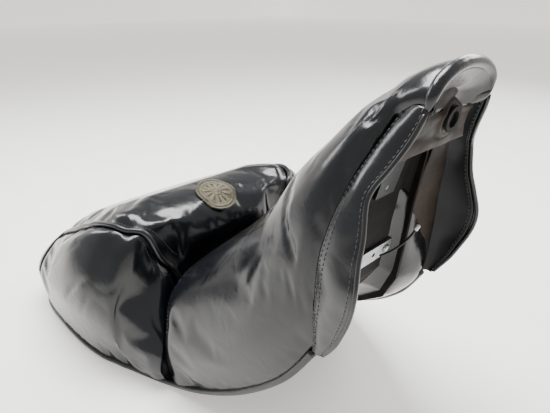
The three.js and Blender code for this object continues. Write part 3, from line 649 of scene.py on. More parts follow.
def steel_finish(name, dark, light, rough_low, rough_high, metallic=1.0):
    """Plated or coated steel: spangle and faint drawing lines."""
    made, tree, shader, place = material(name, metallic=metallic)
    spangle = pattern(tree, place, "ShaderNodeTexVoronoi", 190.0, "Distance")
    tone(tree, shader, spangle, dark, light, start=0.1, end=0.9)
    drawn = pattern(tree, place, "ShaderNodeTexNoise", 500.0, "Fac", Detail=4.0, stretch=(0.08, 1, 1))
    tone(tree, shader, drawn, rough_low, rough_high, "Roughness")
    bump(tree, shader, drawn, 0.00003, 0.5)
    return made


def woven_finish(name, dark, light, pitch):
    """Woven webbing: crossed rows of yarn at a pitch in metres."""
    made, tree, shader, place = material(name, sheen=0.2)
    warp, weft = (
        pattern(
            tree, place, "ShaderNodeTexWave", 1 / (pitch * 6.28), "Fac",
            settings={"wave_type": "BANDS", "bands_direction": direction},
        )
        for direction in ("X", "Y")
    )
    weave = add_node(tree, "ShaderNodeMath", links={0: warp, 1: weft}, operation="MULTIPLY")
    tone(tree, shader, weave.outputs[0], dark, light)
    fibre = pattern(tree, place, "ShaderNodeTexNoise", 900.0, "Fac")
    tone(tree, shader, fibre, 0.55, 0.8, "Roughness")
    bump(tree, shader, weave.outputs[0], 0.0003, 0.8)
    return made


def thread_finish(name, dark, light, roughness=0.5):
    """Twisted sewing thread: fine slanting plies."""
    made, tree, shader, place = material(name, sheen=0.3)
    ply = pattern(
        tree, place, "ShaderNodeTexWave", 420.0, "Fac", Distortion=1.5,
        settings={"wave_type": "BANDS", "bands_direction": "DIAGONAL"},
    )
    tone(tree, shader, ply, dark, light)
    tone(tree, shader, ply, roughness + 0.1, roughness - 0.1, "Roughness")
    bump(tree, shader, ply, 0.0002, 0.8)
    return made


def felt_finish(name, dark, light):
    """Felt: soft pits about a millimetre apart."""
    made, tree, shader, place = material(name, sheen=0.3, specular=0.2)
    cells = pattern(tree, place, "ShaderNodeTexVoronoi", 900.0, "Distance")
    tone(tree, shader, cells, dark, light, start=0.1, end=0.6)
    shader.inputs["Roughness"].default_value = 0.92
    bump(tree, shader, cells, 0.0005, 0.8)
    return made


FINISHES = {}


def finish(name):
    """The finish of that name, made once."""
    if name not in FINISHES:
        colours = bpy.context.scene.seat_colours
        make = {
            # Black top-grain hide with a glossy finish coat.
            "glossy_black_leather": lambda: leather_finish(
                name, colours.leather, "#101216", 0.15, 0.25, 0.0009
            ),
            # The same hide rolled tight over a cord.
            "piping_leather": lambda: leather_finish(name, colours.leather, "#131418", 0.24, 0.4, 0.0003),
            # Brown-grey vinyl backing, wrinkled and dull.
            "lining_vinyl": lambda: leather_finish(
                name, colours.lining, "#3a312a", 0.5, 0.7, 0.0012, 0.0, 0.2
            ),
            # Dark smooth backing of the skirts.
            "skirt_backing": lambda: leather_finish(
                name, "#101114", "#1a1b1f", 0.4, 0.55, 0.0005, 0.0, 0.3
            ),
            # Black polypropylene moulding.
            "moulded_pan": lambda: moulded_finish(name, colours.pan, "#15110f", 0.62, 0.78, specular=0.12),
            # EPDM rubber.
            "rubber": lambda: moulded_finish(name, "#0e0e0e", "#1a1a1a", 0.7, 0.88, 600.0, 0.00012, 0.25),
            # Black polyamide tie.
            "nylon": lambda: moulded_finish(name, "#0c0c0d", "#18181a", 0.32, 0.48, 800.0, 0.00003),
            # White polyamide clip.
            "white_nylon": lambda: moulded_finish(name, "#d9d8d2", "#efeeea", 0.35, 0.5, 800.0, 0.00003),
            # Zinc-plated sheet steel.
            "zinc_steel": lambda: steel_finish(name, "#7d8084", "#a9acae", 0.28, 0.44),
            # Black-coated steel.
            "coated_steel": lambda: steel_finish(name, "#101113", "#1e2023", 0.3, 0.46, 0.35),
            # Polyester webbing.
            "webbing": lambda: woven_finish(name, "#0f0f11", "#232327", 0.0012),
            # Bonded polyester thread, black.
            "black_thread": lambda: thread_finish(name, "#08090a", "#17181b", 0.5),
            # Rayon embroidery thread, old gold.
            "gold_thread": lambda: thread_finish(name, "#2e2a18", colours.patch, 0.55),
            # Olive felt under the embroidery.
            "patch_felt": lambda: felt_finish(name, "#23221a", "#3a3826"),
            # Pale painted floor.
            "pale_floor": lambda: moulded_finish(name, "#efedea", "#f5f3f0", 0.6, 0.75, 60.0, 0.00002, 0.2),
        }
        FINISHES[name] = make[name]()
    return FINISHES[name]


# ------------------------------------------------------------------------------ settings
class SEAT_PG_sizes(bpy.types.PropertyGroup):
    """Sizes of the trim that a user would change."""

    welt: FloatProperty(
        name="Piping radius", description="Radius of the piping", default=0.0036, unit="LENGTH"
    )
    hem: FloatProperty(
        name="Hem radius", description="Radius of the rolled lower hem", default=0.004, unit="LENGTH"
    )
    puff: FloatProperty(
        name="Puff", description="How far the stuffed panels may swell", default=0.0075, unit="LENGTH"
    )
    valley: FloatProperty(
        name="Valley", description="How deep the seams pull in", default=0.0065, unit="LENGTH"
    )
    stitch: FloatProperty(
        name="Stitch", description="Length of one stitch", default=0.0032, unit="LENGTH"
    )
    pitch: FloatProperty(
        name="Stitch pitch", description="Stitch to stitch", default=0.0046, unit="LENGTH"
    )
    thread: FloatProperty(
        name="Thread", description="Radius of the thread", default=0.00055, unit="LENGTH"
    )
    patch: FloatProperty(
        name="Patch radius", description="Radius of the round patch", default=0.026, unit="LENGTH"
    )
    petals: IntProperty(name="Petals", description="Petals of the patch's rosette", default=12, min=3)


class SEAT_PG_colours(bpy.types.PropertyGroup):
    """Colours of the trim that a user would change, as screen colours."""

    leather: StringProperty(name="Leather", description="Darkest tone of the hide", default="#08090b")
    lining: StringProperty(name="Lining", description="Darkest tone of the lining", default="#1a1511")
    pan: StringProperty(name="Pan", description="Darkest tone of the pan", default="#0b0a09")
    patch: StringProperty(name="Patch", description="Lightest tone of the patch", default="#5f5632")


# What later pieces lean on: the two cushions, and the grids of the skirts.
BUILT = {}


def cushion(name, grid, seams, ends, hubs, pressure, slack, seed):
    """Stuffed cover over an even grid: pulled in at its seams, swollen between them, and closed below."""
    sizes = bpy.context.scene.seat_sizes
    thinned, seam_reach, hem_reach, sewn_within = 0.002, 0.010, 0.02, 0.0032
    away = np.minimum(seams["sewn"], seams["edge"])
    pulled = thinned + sizes.valley * np.exp(-((seams["sewn"] / seam_reach) ** 2))
    pulled = pulled - thinned * np.exp(-((seams["edge"] / hem_reach) ** 2))
    obj = grid_object(name, grid - grid_normals(grid) * pulled[..., None])
    held = (away < sewn_within).ravel()
    inflate(obj, sizes.puff, pressure, held, slack)
    relax(obj, 2, held)
    swollen = coordinates(obj).reshape(grid.shape)
    normal = grid_normals(swollen)
    pucker = seams["pucker"](swollen, seed)
    swollen = swollen - normal * pucker[..., None]
    above_floor = 0.0012
    swollen[..., 2] = np.maximum(swollen[..., 2], above_floor)
    mesh = obj.data
    bpy.data.objects.remove(obj)
    bpy.data.meshes.remove(mesh)
    pan = seek(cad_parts["seat_pan"])
    right, left = tuck_under(swollen, -1, pan), tuck_under(swollen, 1, pan)
    rings = ends(np.concatenate([right[:, ::-1], swollen, left], axis=1))
    return subdivide(closed_rings(name, rings, *hubs))


def tuck_under(grid, side, pan):
    """Columns that turn one side's hem under and lay it on the pan, out of sight."""
    edge = grid[:, 0] if side < 0 else grid[:, -1]
    inner = grid[:, 3] if side < 0 else grid[:, -4]
    middle = grid[:, grid.shape[1] // 2]
    rows = []
    for point, above, crown in zip(edge, inner, middle):
        point, above, crown = Vector(point), Vector(above), Vector(crown)
        centre = Vector((point.x, 0, point.z))
        down = (point - above).normalized()
        inward = (centre - point).normalized()
        roll = point + down * 0.001 + inward * 0.006
        on_pan = pan.find_nearest(point + inward * 0.01)[0]
        wrapped = on_pan + (point - on_pan).normalized() * 0.0006
        deep = wrapped.lerp(crown.lerp(wrapped, 0.75), 0.5)
        core = crown.lerp(Vector((deep.x, 0, deep.z)), 0.7)
        rows.append([roll, roll.lerp(wrapped, 0.55), wrapped, deep, core])
    return np.array([[tuple(p) for p in row] for row in rows])


def joint_wall(first, step, lip):
    """Two rings that take a cover down into the bucket joint: low on its wall, then just under its seam."""
    low = first[:, 2] * 0.55 + JOINT_FLOOR * 0.45
    wall = np.stack([first[:, 0] + step, first[:, 1] * 0.96, low], 1)
    return np.stack([wall, first + np.array(lip)])


def press_creases(obj, paths, count, right, left, shift=0.0):
    """Presses creases into the right side, and their mirror images, moved back by shift, into the left."""
    for path in paths:
        course = [Vector(p) for p in to_frame(spline(path, count))]
        groove(obj, course, *right)
        groove(obj, [Vector((p.x - shift, -p.y, p.z)) for p in course], *left)


def pucker_field(paths, height, reach, wave):
    """Gathers, in millimetres, that run square to the seams and die out over the panel."""

    def field(points, seed):
        plan = (points[..., :2] - np.array([BUCKET_X, 0])) / MM
        total = np.zeros(points.shape[:-1])
        rough = rumple(points, 22.0, seed)
        for path in paths:
            away, where = plan_distance(plan, path)
            phase = where / wave + rough * 1.6
            ridge = 1 - np.abs(np.sin(math.pi * phase))
            strength = np.clip(rumple(points, 9.0, seed + 3) * 1.6 + 0.55, 0, 1)
            total += height * MM * ridge**2 * np.exp(-((away / reach) ** 2)) * strength
        return total

    return field


def nose_turn(last):
    """Rings that carry the cover over the nose rim and turn it under, ahead of the last ring."""
    count, drawn_in = 121, 0.6
    course = spline([*mirrored(NOSE_RIM), *reversed(NOSE_RIM[:-1])], count)
    under = (len(last) - count) // 2
    rim = np.array([tuple(p) for p in course])
    rim = to_frame(np.concatenate([np.repeat(rim[:1], under, 0), rim, np.repeat(rim[-1:], under, 0)]))
    depth = np.concatenate([np.linspace(1, 0, under), np.zeros(count), np.linspace(0, 1, under)])[:, None]
    centre = np.array([0.284 + BUCKET_X, 0, 0.380])
    rim = rim * (1 - drawn_in * depth) + centre * drawn_in * depth
    up = np.array([0.003, 0, 0.0035]) * (1 - depth)
    out = np.array([0.0055, 0, 0.001]) * (1 - depth)
    back = np.array([0.001, 0, -0.0075])
    rings = []
    for share in (0.1, 0.22, 0.36, 0.5, 0.64, 0.77, 0.89):
        rings.append(last * (1 - share) + rim * share + up * 1.5 * math.sin(math.pi * share**0.8))
    return np.stack([*rings, rim + up, rim + out, rim + back, rim * 0.75 + centre * 0.25 + back])


# ------------------------------------------------------------------------------ operators
class SEAT_OT_rider_cushion(bpy.types.Operator):
    """Rider's cushion, from the bucket joint to the nose"""

    bl_idname = "seat.rider_cushion"
    bl_label = "Rider Cushion"

    def execute(self, context):
        grid = to_frame(patch_grid(RIDER[:-1], rider_line, 108, 121, True))
        run, edge = surface_reach(grid)
        joint = [(rider_line(np.array(float(y))).item(), y) for y in np.linspace(-165, 165, 67)]
        seams = {
            "sewn": run,
            "edge": np.minimum(run[-1:] - run, edge),
            "pucker": pucker_field([joint], 1.5, 24.0, 21.0),
        }

        def ends(rings):
            wall = joint_wall(rings[0], 0.003, (0.004, 0, -0.010))
            return np.concatenate([wall, rings, nose_turn(rings[-1])])

        hubs = (Vector((0.026 + BUCKET_X, 0, JOINT_FLOOR)), Vector((0.288 + BUCKET_X, 0, 0.388)))
        obj = cushion("rider_cushion", grid, seams, ends, hubs, pressure=2.2, slack=0.004, seed=1)
        press_creases(obj, CREASES, 40, (0.007, 0.0022, 0.25), (0.008, 0.0016, 0.3))
        hide = finish("glossy_black_leather")
        finish_piece(obj, SEAT, "cover_leather", hide, "rider_cover", "rider_foam")
        BUILT["rider"] = obj
        return {"FINISHED"}


class SEAT_OT_rear_cushion(bpy.types.Operator):
    """Passenger's panel, hip bolsters and tail panels, stuffed as one cover with sewn joints"""

    bl_idname = "seat.rear_cushion"
    bl_label = "Rear Cushion"

    def execute(self, context):
        pattern_grid = patch_grid(PILLION, bucket_line, 104, 173, False)
        grid = to_frame(pattern_grid)
        plan = np.stack([pattern_grid[..., 0], np.abs(pattern_grid[..., 1])], axis=-1)
        arc = np.where(pattern_grid[..., 2] > 60, plan_distance(plan, ARC)[0], BEYOND_SEAMS)
        beside = plan[..., 1] > np.interp(-plan[..., 0], [-2, 48, 90, 300], [84, 152, 160, 165]) - 2
        tail = np.where(beside, np.abs(plan[..., 0] - TAIL_JOINT), BEYOND_SEAMS)
        run, edge = surface_reach(grid)
        joint = [(bucket_line(np.array(float(y))).item(), y) for y in np.linspace(-200, 200, 81)]
        arcs = [[(x, sign * y) for x, y in ARC] for _, sign in SIDES]
        tails = [[(TAIL_JOINT, sign * 165), (TAIL_JOINT, sign * 220)] for _, sign in SIDES]
        seams = {
            "sewn": np.minimum(np.minimum(arc, tail) * MM, run),
            "edge": np.minimum(run[-1:] - run, edge),
            "pucker": pucker_field([joint, *arcs, *tails], 1.6, 22.0, 23.0),
        }

        def ends(rings):
            wall, last = joint_wall(rings[0], -0.002, (-0.003, 0, -0.009)), rings[-1]
            middle = last.mean(axis=0)
            turned = [
                middle + (last - middle) * share + np.array([back, 0, 0])
                for share, back in ((0.97, -0.0025), (0.8, -0.003))
            ]
            return np.concatenate([wall, rings, np.stack(turned)])

        hubs = (Vector((BUCKET_X, 0, JOINT_FLOOR)), Vector((-0.298 + BUCKET_X, 0, 0.02)))
        obj = cushion("rear_cushion", grid, seams, ends, hubs, pressure=2.4, slack=0.008, seed=5)
        press_creases(obj, BOLSTER_CREASES, 30, (0.005, 0.0018, 0.3), (0.006, 0.0014, 0.3), 0.006)
        paired = [f"{node}_{tag}" for node in ("hip_bolster", "tail_panel") for tag, _ in SIDES]
        hide = finish("glossy_black_leather")
        finish_piece(obj, SEAT, "cover_leather", hide, "pillion_cover", *paired, "pillion_foam")
        BUILT["rear"] = obj
        return {"FINISHED"}


def on_surface(tree, points, lift):
    """Plan points dropped onto the cushions, and raised along the surface's normal."""
    placed = []
    for point in points:
        start = Vector((point.x, point.y, 0.6))
        hit, normal, _, _ = tree.ray_cast(start, Vector((0, 0, -1)))
        if hit is not None:
            placed.append(hit + normal * lift)
    if len(placed) < 2:
        raise RuntimeError(f"no cushion lies under {tuple(points[0])}")
    return placed


def calmed(points, rounds=3):
    """Takes the shake out of a course, leaving its ends."""
    for _ in range(rounds):
        inner = [(a + b * 2 + c) / 4 for a, b, c in zip(points, points[1:], points[2:])]
        points = [points[0], *inner, points[-1]]
    return points


class SEAT_OT_piping(bpy.types.Operator):
    """Piping along the sewn joints, and the rolled lower hem"""

    bl_idname = "seat.piping"
    bl_label = "Piping"

    def execute(self, context):
        sizes = context.scene.seat_sizes
        tree = seek(BUILT["rider"], BUILT["rear"])
        for tag, sign in SIDES:
            turn = ((-203, 169), *((TAIL_JOINT, y) for y in (180, 192, 203, 209)))
            plan = [seat_point(x, sign * y, 0) for x, y in (*ARC[:-1], *turn)]
            course = calmed(on_surface(tree, spline(plan, 130), sizes.welt * 0.9), 5)
            arc = rod(f"arc_welt_{tag}", course, sizes.welt, 12)
            finish_piece(arc, SEAT, "cover_leather", finish("piping_leather"), f"arc_piping_{tag}")
            run = [seat_point(x, sign * y, max(z, HEM_LOWEST)) for x, y, z in HEM_COURSE]
            hem = rod(f"hem_roll_{tag}", spline(run, 240), sizes.hem, 12)
            finish_piece(hem, SEAT, "cover_leather", finish("piping_leather"), f"hem_piping_{tag}")
        across = [seat_point(3.5, y, 0) for y in np.linspace(-POCKET_HALF + 3, POCKET_HALF - 3, 60)]
        course = calmed(on_surface(tree, across, sizes.welt * 0.6), 4)
        slot = rod("pocket_welt", course, sizes.welt, 12)
        finish_piece(slot, SEAT, "cover_leather", finish("piping_leather"), "slot_piping")
        return {"FINISHED"}


def cloth_sheet(name, grid, wall):
    """Closed sheet over a grid of points: its walls stand half to each side, and its edges are rounded."""
    rows, columns = grid.shape[:2]
    normal = grid_normals(grid)
    fade = np.ones((rows, columns))
    fade[0] = fade[-1] = fade[:, 0] = fade[:, -1] = 0.35
    half = wall / 2 * fade[..., None] * normal
    top, under = (grid + half).reshape(-1, 3), (grid - half).reshape(-1, 3)
    faces = []
    shift = rows * columns
    for r in range(rows - 1):
        for c in range(columns - 1):
            a = r * columns + c
            faces.append((a, a + 1, a + columns + 1, a + columns))
            faces.append((shift + a, shift + a + columns, shift + a + columns + 1, shift + a + 1))
    rim = [(0, c) for c in range(columns)] + [(r, columns - 1) for r in range(1, rows)]
    rim += [(rows - 1, c) for c in range(columns - 2, -1, -1)] + [(r, 0) for r in range(rows - 2, 0, -1)]
    for (r0, c0), (r1, c1) in zip(rim, rim[1:] + rim[:1]):
        a, b = r0 * columns + c0, r1 * columns + c1
        faces.append((a, b, b + shift, a + shift))
    return outward(mesh_object(name, np.concatenate([top, under]), faces))


def skirt_grid(sign, rows=96, columns=26):
    """Outer face of a skirt, from the hem joint (first column) to its free edge (last)."""
    edge = np.array([tuple(p) for p in spline(SKIRT_EDGE, rows)])
    joint = np.array([tuple(p) for p in spline(SKIRT_JOINT, rows)])
    share = np.linspace(0, 1, columns)[None, :, None]
    grid = joint[:, None] * (1 - share) + edge[:, None] * share
    grid[..., 1] += 3.0 * np.sin(np.pi * share[..., 0]) + 1.2
    wave = rumple(grid * MM, 26.0, 11 + sign) * 2.2 + rumple(grid * MM, 60.0, 4 + sign) * 0.8
    grid[..., 1] += wave * (0.25 + 0.75 * share[..., 0])
    grid[..., 0] += rumple(grid * MM, 34.0, 7 + sign) * 1.6 * share[..., 0]
    grid = to_frame(grid)
    grid[..., 1] *= sign
    return grid


class SEAT_OT_skirts(bpy.types.Operator):
    """Skirts beside the nose, each with its backing and its rolled free edge"""

    bl_idname = "seat.skirts"
    bl_label = "Skirts"

    def execute(self, context):
        for tag, sign in SIDES:
            grid = skirt_grid(sign)
            skirt = subdivide(cloth_sheet(f"skirt_panel_{tag}", grid, 0.0022))
            finish_piece(skirt, SEAT, "cover_leather", finish("glossy_black_leather"), f"skirt_{tag}")
            back = grid[:, :-2].copy()
            back[..., 1] -= sign * 0.0022
            backing = cloth_sheet(f"skirt_backing_{tag}", back, 0.0009)
            finish_piece(backing, SEAT, "lining", finish("skirt_backing"))
            edge = [Vector(p) for p in grid[1:-1:2, -1]]
            roll = rod(f"skirt_roll_{tag}", calmed(edge, 2), 0.0021, 10)
            finish_piece(roll, SEAT, "cover_leather", finish("piping_leather"))
            BUILT[f"skirt_{tag}"] = grid
        return {"FINISHED"}


class SEAT_OT_nose(bpy.types.Operator):
    """Padded roll round the nose, and the lining that closes it"""

    bl_idname = "seat.nose"
    bl_label = "Nose"

    def execute(self, context):
        path = [*NOSE_RIM, *reversed(mirrored(NOSE_RIM[:-1]))]
        course = [seat_point(*p) for p in spline(path, 90)]
        shares = np.linspace(-1, 1, len(course))
        radii = 0.0026 + 0.0028 * np.clip(1 - np.abs(shares) ** 6, 0, 1)
        roll = rod("nose_roll", course, radii.tolist(), 18)
        finish_piece(roll, SEAT, "cover_leather", finish("glossy_black_leather"), "nose_rim")

        sides = np.linspace(-1, 1, 97)
        ups = np.linspace(0, 1, 57)
        arch = np.array(LINING_ARCH, dtype=float)
        lowest, highest = arch[0, 1], arch[-1, 1]
        heights = lowest + ups * (highest - lowest)
        widths = np.interp(heights, arch[:, 1], arch[:, 0]) - 3.4 * (1 - ups)
        grid = np.empty((len(ups), len(sides), 3))
        grid[..., 0] = (287 + ups * 9.5)[:, None]
        grid[..., 1] = widths[:, None] * sides[None, :]
        grid[..., 2] = heights[:, None]
        fold = np.exp(-(((heights - 371) / 3.2) ** 2)) * 2.6
        crease = fold - np.exp(-(((heights - 356) / 4.0) ** 2)) * 1.4
        grid[..., 0] += crease[:, None] * (0.6 + 0.4 * rumple(grid * MM, 30.0, 2))
        grid[..., 0] += rumple(grid * MM * np.array([1, 1, 2.4]), 55.0, 6) * 1.5 - 2.0
        low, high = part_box("nose_grommet")
        hole = np.array([(low.y + high.y) / 2, (low.z + high.z) / 2])
        placed = to_frame(grid)
        ring = placed[..., 1:] - hole
        size = np.linalg.norm(ring, axis=-1)
        # the lining is drawn back to a collar round the grommet, from 2.2 times the collar's radius
        collar, reach = 0.0092, 2.2
        pushed = np.where(size < reach * collar, collar + size * ((reach - 1) / reach), size)
        placed[..., 1:] = hole + ring / np.maximum(size, 1e-6)[..., None] * pushed[..., None]
        placed[..., 0] += 0.0022 * np.exp(-(((size - collar) / 0.004) ** 2))
        lining = cloth_sheet("nose_backing", placed, 0.0014)
        finish_piece(lining, SEAT, "lining", finish("lining_vinyl"), "nose_lining")
        return {"FINISHED"}


class SEAT_OT_closing_strips(bpy.types.Operator):
    """Vinyl strips that close the gap between the pan and the hem"""

    bl_idname = "seat.closing_strips"
    bl_label = "Closing Strips"

    def execute(self, context):
        for tag, sign in SIDES:
            outer = np.array([tuple(p) for p in spline(STRIP_HEM, 84)])
            inner = np.array([tuple(p) for p in spline(STRIP_PAN, 84)])
            share = np.linspace(0.04, 1, 20)[None, :, None]
            grid = outer[:, None] * (1 - share) + inner[:, None] * share
            grid += np.array([3.2, 0, -3.2])
            sag = np.sin(np.pi * share[..., 0])
            grid[..., 0] += sag * (2.0 + 2.2 * rumple(grid * MM, 30.0, 3 + sign))
            grid[..., 2] -= sag * 2.0
            grid[..., 1] += rumple(grid * MM, 45.0, 9) * 1.2
            grid = to_frame(grid)
            grid[..., 1] *= sign
            strip = cloth_sheet(f"closing_flap_{tag}", grid, 0.0012)
            finish_piece(strip, SEAT, "lining", finish("lining_vinyl"), f"closing_strip_{tag}")
        return {"FINISHED"}


def stitch_tree(name):
    """Node tree that lays stitches along a polyline: thread ovals set nose to tail on the path."""
    tree = bpy.data.node_groups.new(name, "GeometryNodeTree")
    sides = tree.interface
    sides.new_socket("Geometry", in_out="INPUT", socket_type="NodeSocketGeometry")
    for label, default in (("Pitch", 0.0046), ("Stitch", 0.0032), ("Thread", 0.00055), ("Slant", 0.12)):
        socket = sides.new_socket(label, in_out="INPUT", socket_type="NodeSocketFloat")
        socket.default_value = default
    sides.new_socket("Seed", in_out="INPUT", socket_type="NodeSocketInt")
    sides.new_socket("Material", in_out="INPUT", socket_type="NodeSocketMaterial")
    sides.new_socket("Geometry", in_out="OUTPUT", socket_type="NodeSocketGeometry")
    start = add_node(tree, "NodeGroupInput").outputs
    curve = add_node(tree, "GeometryNodeMeshToCurve", links={"Mesh": start["Geometry"]})
    even = add_node(
        tree, "GeometryNodeResampleCurve", links={"Curve": curve.outputs[0], "Length": start["Pitch"]},
        mode="LENGTH",
    )
    tangent = add_node(tree, "GeometryNodeInputTangent")
    turn = add_node(
        tree, "FunctionNodeAlignRotationToVector", links={"Vector": tangent.outputs[0]}, axis="Z"
    )
    wander = add_node(
        tree, "FunctionNodeRandomValue", {"Min": (-0.09, -0.09, 0), "Max": (0.09, 0.09, 0)},
        {"Seed": start["Seed"]}, data_type="FLOAT_VECTOR",
    )
    slant = add_node(tree, "ShaderNodeCombineXYZ", links={"Y": start["Slant"]})
    lean = add_node(
        tree, "ShaderNodeVectorMath", links={0: wander.outputs[0], 1: slant.outputs[0]}, operation="ADD"
    )
    both = add_node(
        tree, "FunctionNodeRotateRotation",
        links={"Rotation": turn.outputs[0], "Rotate By": lean.outputs[0]}, rotation_space="LOCAL",
    )
    half = add_node(tree, "ShaderNodeMath", {1: 0.5}, {0: start["Stitch"]}, operation="MULTIPLY")
    size = add_node(
        tree, "ShaderNodeCombineXYZ",
        links={"X": start["Thread"], "Y": start["Thread"], "Z": half.outputs[0]},
    )
    oval = add_node(tree, "GeometryNodeMeshUVSphere", {"Segments": 6, "Rings": 5, "Radius": 1.0})
    laid = add_node(
        tree, "GeometryNodeInstanceOnPoints",
        links={
            "Points": even.outputs[0], "Instance": oval.outputs["Mesh"],
            "Rotation": both.outputs[0], "Scale": size.outputs[0],
        },
    )
    real = add_node(tree, "GeometryNodeRealizeInstances", links={"Geometry": laid.outputs[0]})
    rounded = add_node(tree, "GeometryNodeSetShadeSmooth", links={"Geometry": real.outputs[0]})
    dressed = add_node(
        tree, "GeometryNodeSetMaterial",
        links={"Geometry": rounded.outputs[0], "Material": start["Material"]},
    )
    add_node(tree, "NodeGroupOutput", links={"Geometry": dressed.outputs[0]})
    return tree


def stitch_rows(name, paths, finish_name, slot, **values):
    """Stitches along several paths, as one plain mesh."""
    sizes = bpy.context.scene.seat_sizes
    points, edges = [], []
    for path in paths:
        edges += [(len(points) + k, len(points) + k + 1) for k in range(len(path) - 1)]
        points += [tuple(p) for p in path]
    obj = mesh_object(name, points, [], edges)
    tree = stitch_tree(f"{name}_layout")
    modifier = obj.modifiers.new("stitches", "NODES")
    modifier.node_group = tree
    inputs = {"Pitch": sizes.pitch, "Stitch": sizes.stitch, "Thread": sizes.thread, "Seed": 3, **values}
    for item in tree.interface.items_tree:
        if item.in_out == "INPUT" and item.name in inputs:
            modifier[item.identifier] = inputs[item.name]
        elif item.in_out == "INPUT" and item.name == "Material":
            modifier[item.identifier] = finish(finish_name)
    baked(obj)
    if not obj.data.polygons:
        raise RuntimeError(f"{name} came out empty")
    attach(obj, SEAT)
    return obj


def offset_plan(path, by):
    """A plan course moved sideways."""
    moved = []
    for i, point in enumerate(path):
        before, after = path[max(i - 1, 0)], path[min(i + 1, len(path) - 1)]
        along = (after - before).normalized()
        moved.append(point + Vector((-along.y, along.x, 0)) * by)
    return moved


class SEAT_OT_stitching(bpy.types.Operator):
    """Lines of stitches beside the joints and along the skirts' edges"""

    bl_idname = "seat.stitching"
    bl_label = "Stitching"

    def execute(self, context):
        tree = seek(BUILT["rider"], BUILT["rear"])
        rows = []
        for _, sign in SIDES:
            arc = spline([seat_point(x, sign * y, 0) for x, y in ARC[:-1]], 120)
            for gap in (0.0075, -0.0075):
                rows.append(calmed(on_surface(tree, offset_plan(arc, gap)[2:-2], 0.0002), 2))
            tail = [seat_point(TAIL_JOINT, sign * y, 0) for y in np.linspace(168, 196, 24)]
            for gap in (0.004, -0.004):
                rows.append(calmed(on_surface(tree, offset_plan(tail, gap), 0.0002), 1))
            joint = [(x, sign * (y + 1)) for x, y in ((14, 96), (27, 118), (43, 136), (56, 148))]
            front = spline([seat_point(x + 9, y, 0) for x, y in joint], 60)
            rows.append(calmed(on_surface(tree, front, 0.0002), 3))
        stitch_rows("cover_stitches", rows, "black_thread", "thread")
        rows = []
        for tag, _ in SIDES:
            grid = BUILT[f"skirt_{tag}"]
            out = np.sign(grid[0, 0, 1]) * np.array([0, 0.0013, 0])
            for column in (2, 5):
                rows.append([Vector(p) for p in grid[1:-1, column] + out])
            rows.append([Vector(p) for p in grid[1:-1, -4] + out])
            rows.append([Vector(p) for p in grid[1:-1, -5] - out * 2.6])
        stitch_rows("skirt_stitches", rows, "black_thread", "thread")
        return {"FINISHED"}


def ray(angle):
    """The way out from the patch's centre at an angle."""
    return Vector((math.cos(angle), math.sin(angle), 0))


def patch_felt(laid, centre, radius):
    """The patch's felt: a disc laid on the panel, thinner at its edge, with its underside sunk in."""
    rings, spokes = 22, 96
    wall, sunk, thin_from = 0.0022, 0.0015, 0.94
    points = []
    for r in range(rings + 1):
        for k in range(spokes):
            angle = 2 * math.pi * k / spokes
            reach = radius * r / rings
            points.append(centre + Vector((math.cos(angle) * reach, math.sin(angle) * reach, 0)))
    top, under = [], []
    for i, p in enumerate(laid(points)):
        share = (i // spokes) / rings
        thick = wall * (1 - max(0.0, share - thin_from) / 0.06 * 0.6)
        top.append(p + Vector((0, 0, thick)))
        under.append(p - Vector((0, 0, sunk)))
    faces = []
    for r in range(rings):
        for k in range(spokes):
            a, b = r * spokes + k, r * spokes + (k + 1) % spokes
            faces.append((a, b, b + spokes, a + spokes))
    shift = len(top)
    faces += [tuple(shift + n for n in reversed(face)) for face in faces]
    rim = rings * spokes
    for k in range(spokes):
        a, b = rim + k, rim + (k + 1) % spokes
        faces.append((a, b, b + shift, a + shift))
    return outward(mesh_object("patch_felt", top + under, faces))


def patch_threads(laid, centre, radius, petals):
    """Courses of the embroidery: three satin rings, a rosette of petals and a crossed middle."""
    lift, step = 0.0026, 0.0011

    def lifted(path, lift):
        return [p + Vector((0, 0, lift)) for p in laid(path)]

    paths = []
    for share, band in ((0.965, 0.0022), (0.80, 0.0015), (0.30, 0.0015)):
        turns = int(2 * math.pi * radius * share / step)
        for k in range(turns):
            out = ray(2 * math.pi * k / turns)
            ends = [centre + out * (radius * share - band), centre + out * (radius * share + band)]
            paths.append(lifted(ends, lift))
    for petal in range(petals):
        middle = 2 * math.pi * petal / petals
        for line in range(-4, 5):
            bow = line / 4 * 0.62 * math.pi / petals
            inner, outer = 0.37, 0.74 - 0.11 * abs(line / 4) ** 2
            course = ((0.7, inner), (1.0, (inner + outer) / 2), (0.85, outer))
            ends = [centre + ray(middle + bow * share) * radius * reach for share, reach in course]
            paths.append(lifted(ends, lift))
    crossings = 9
    for k in range(crossings):
        out = ray(math.pi * k / crossings) * radius * 0.22
        paths.append(lifted([centre - out, centre + out], 0.0027))
    return paths


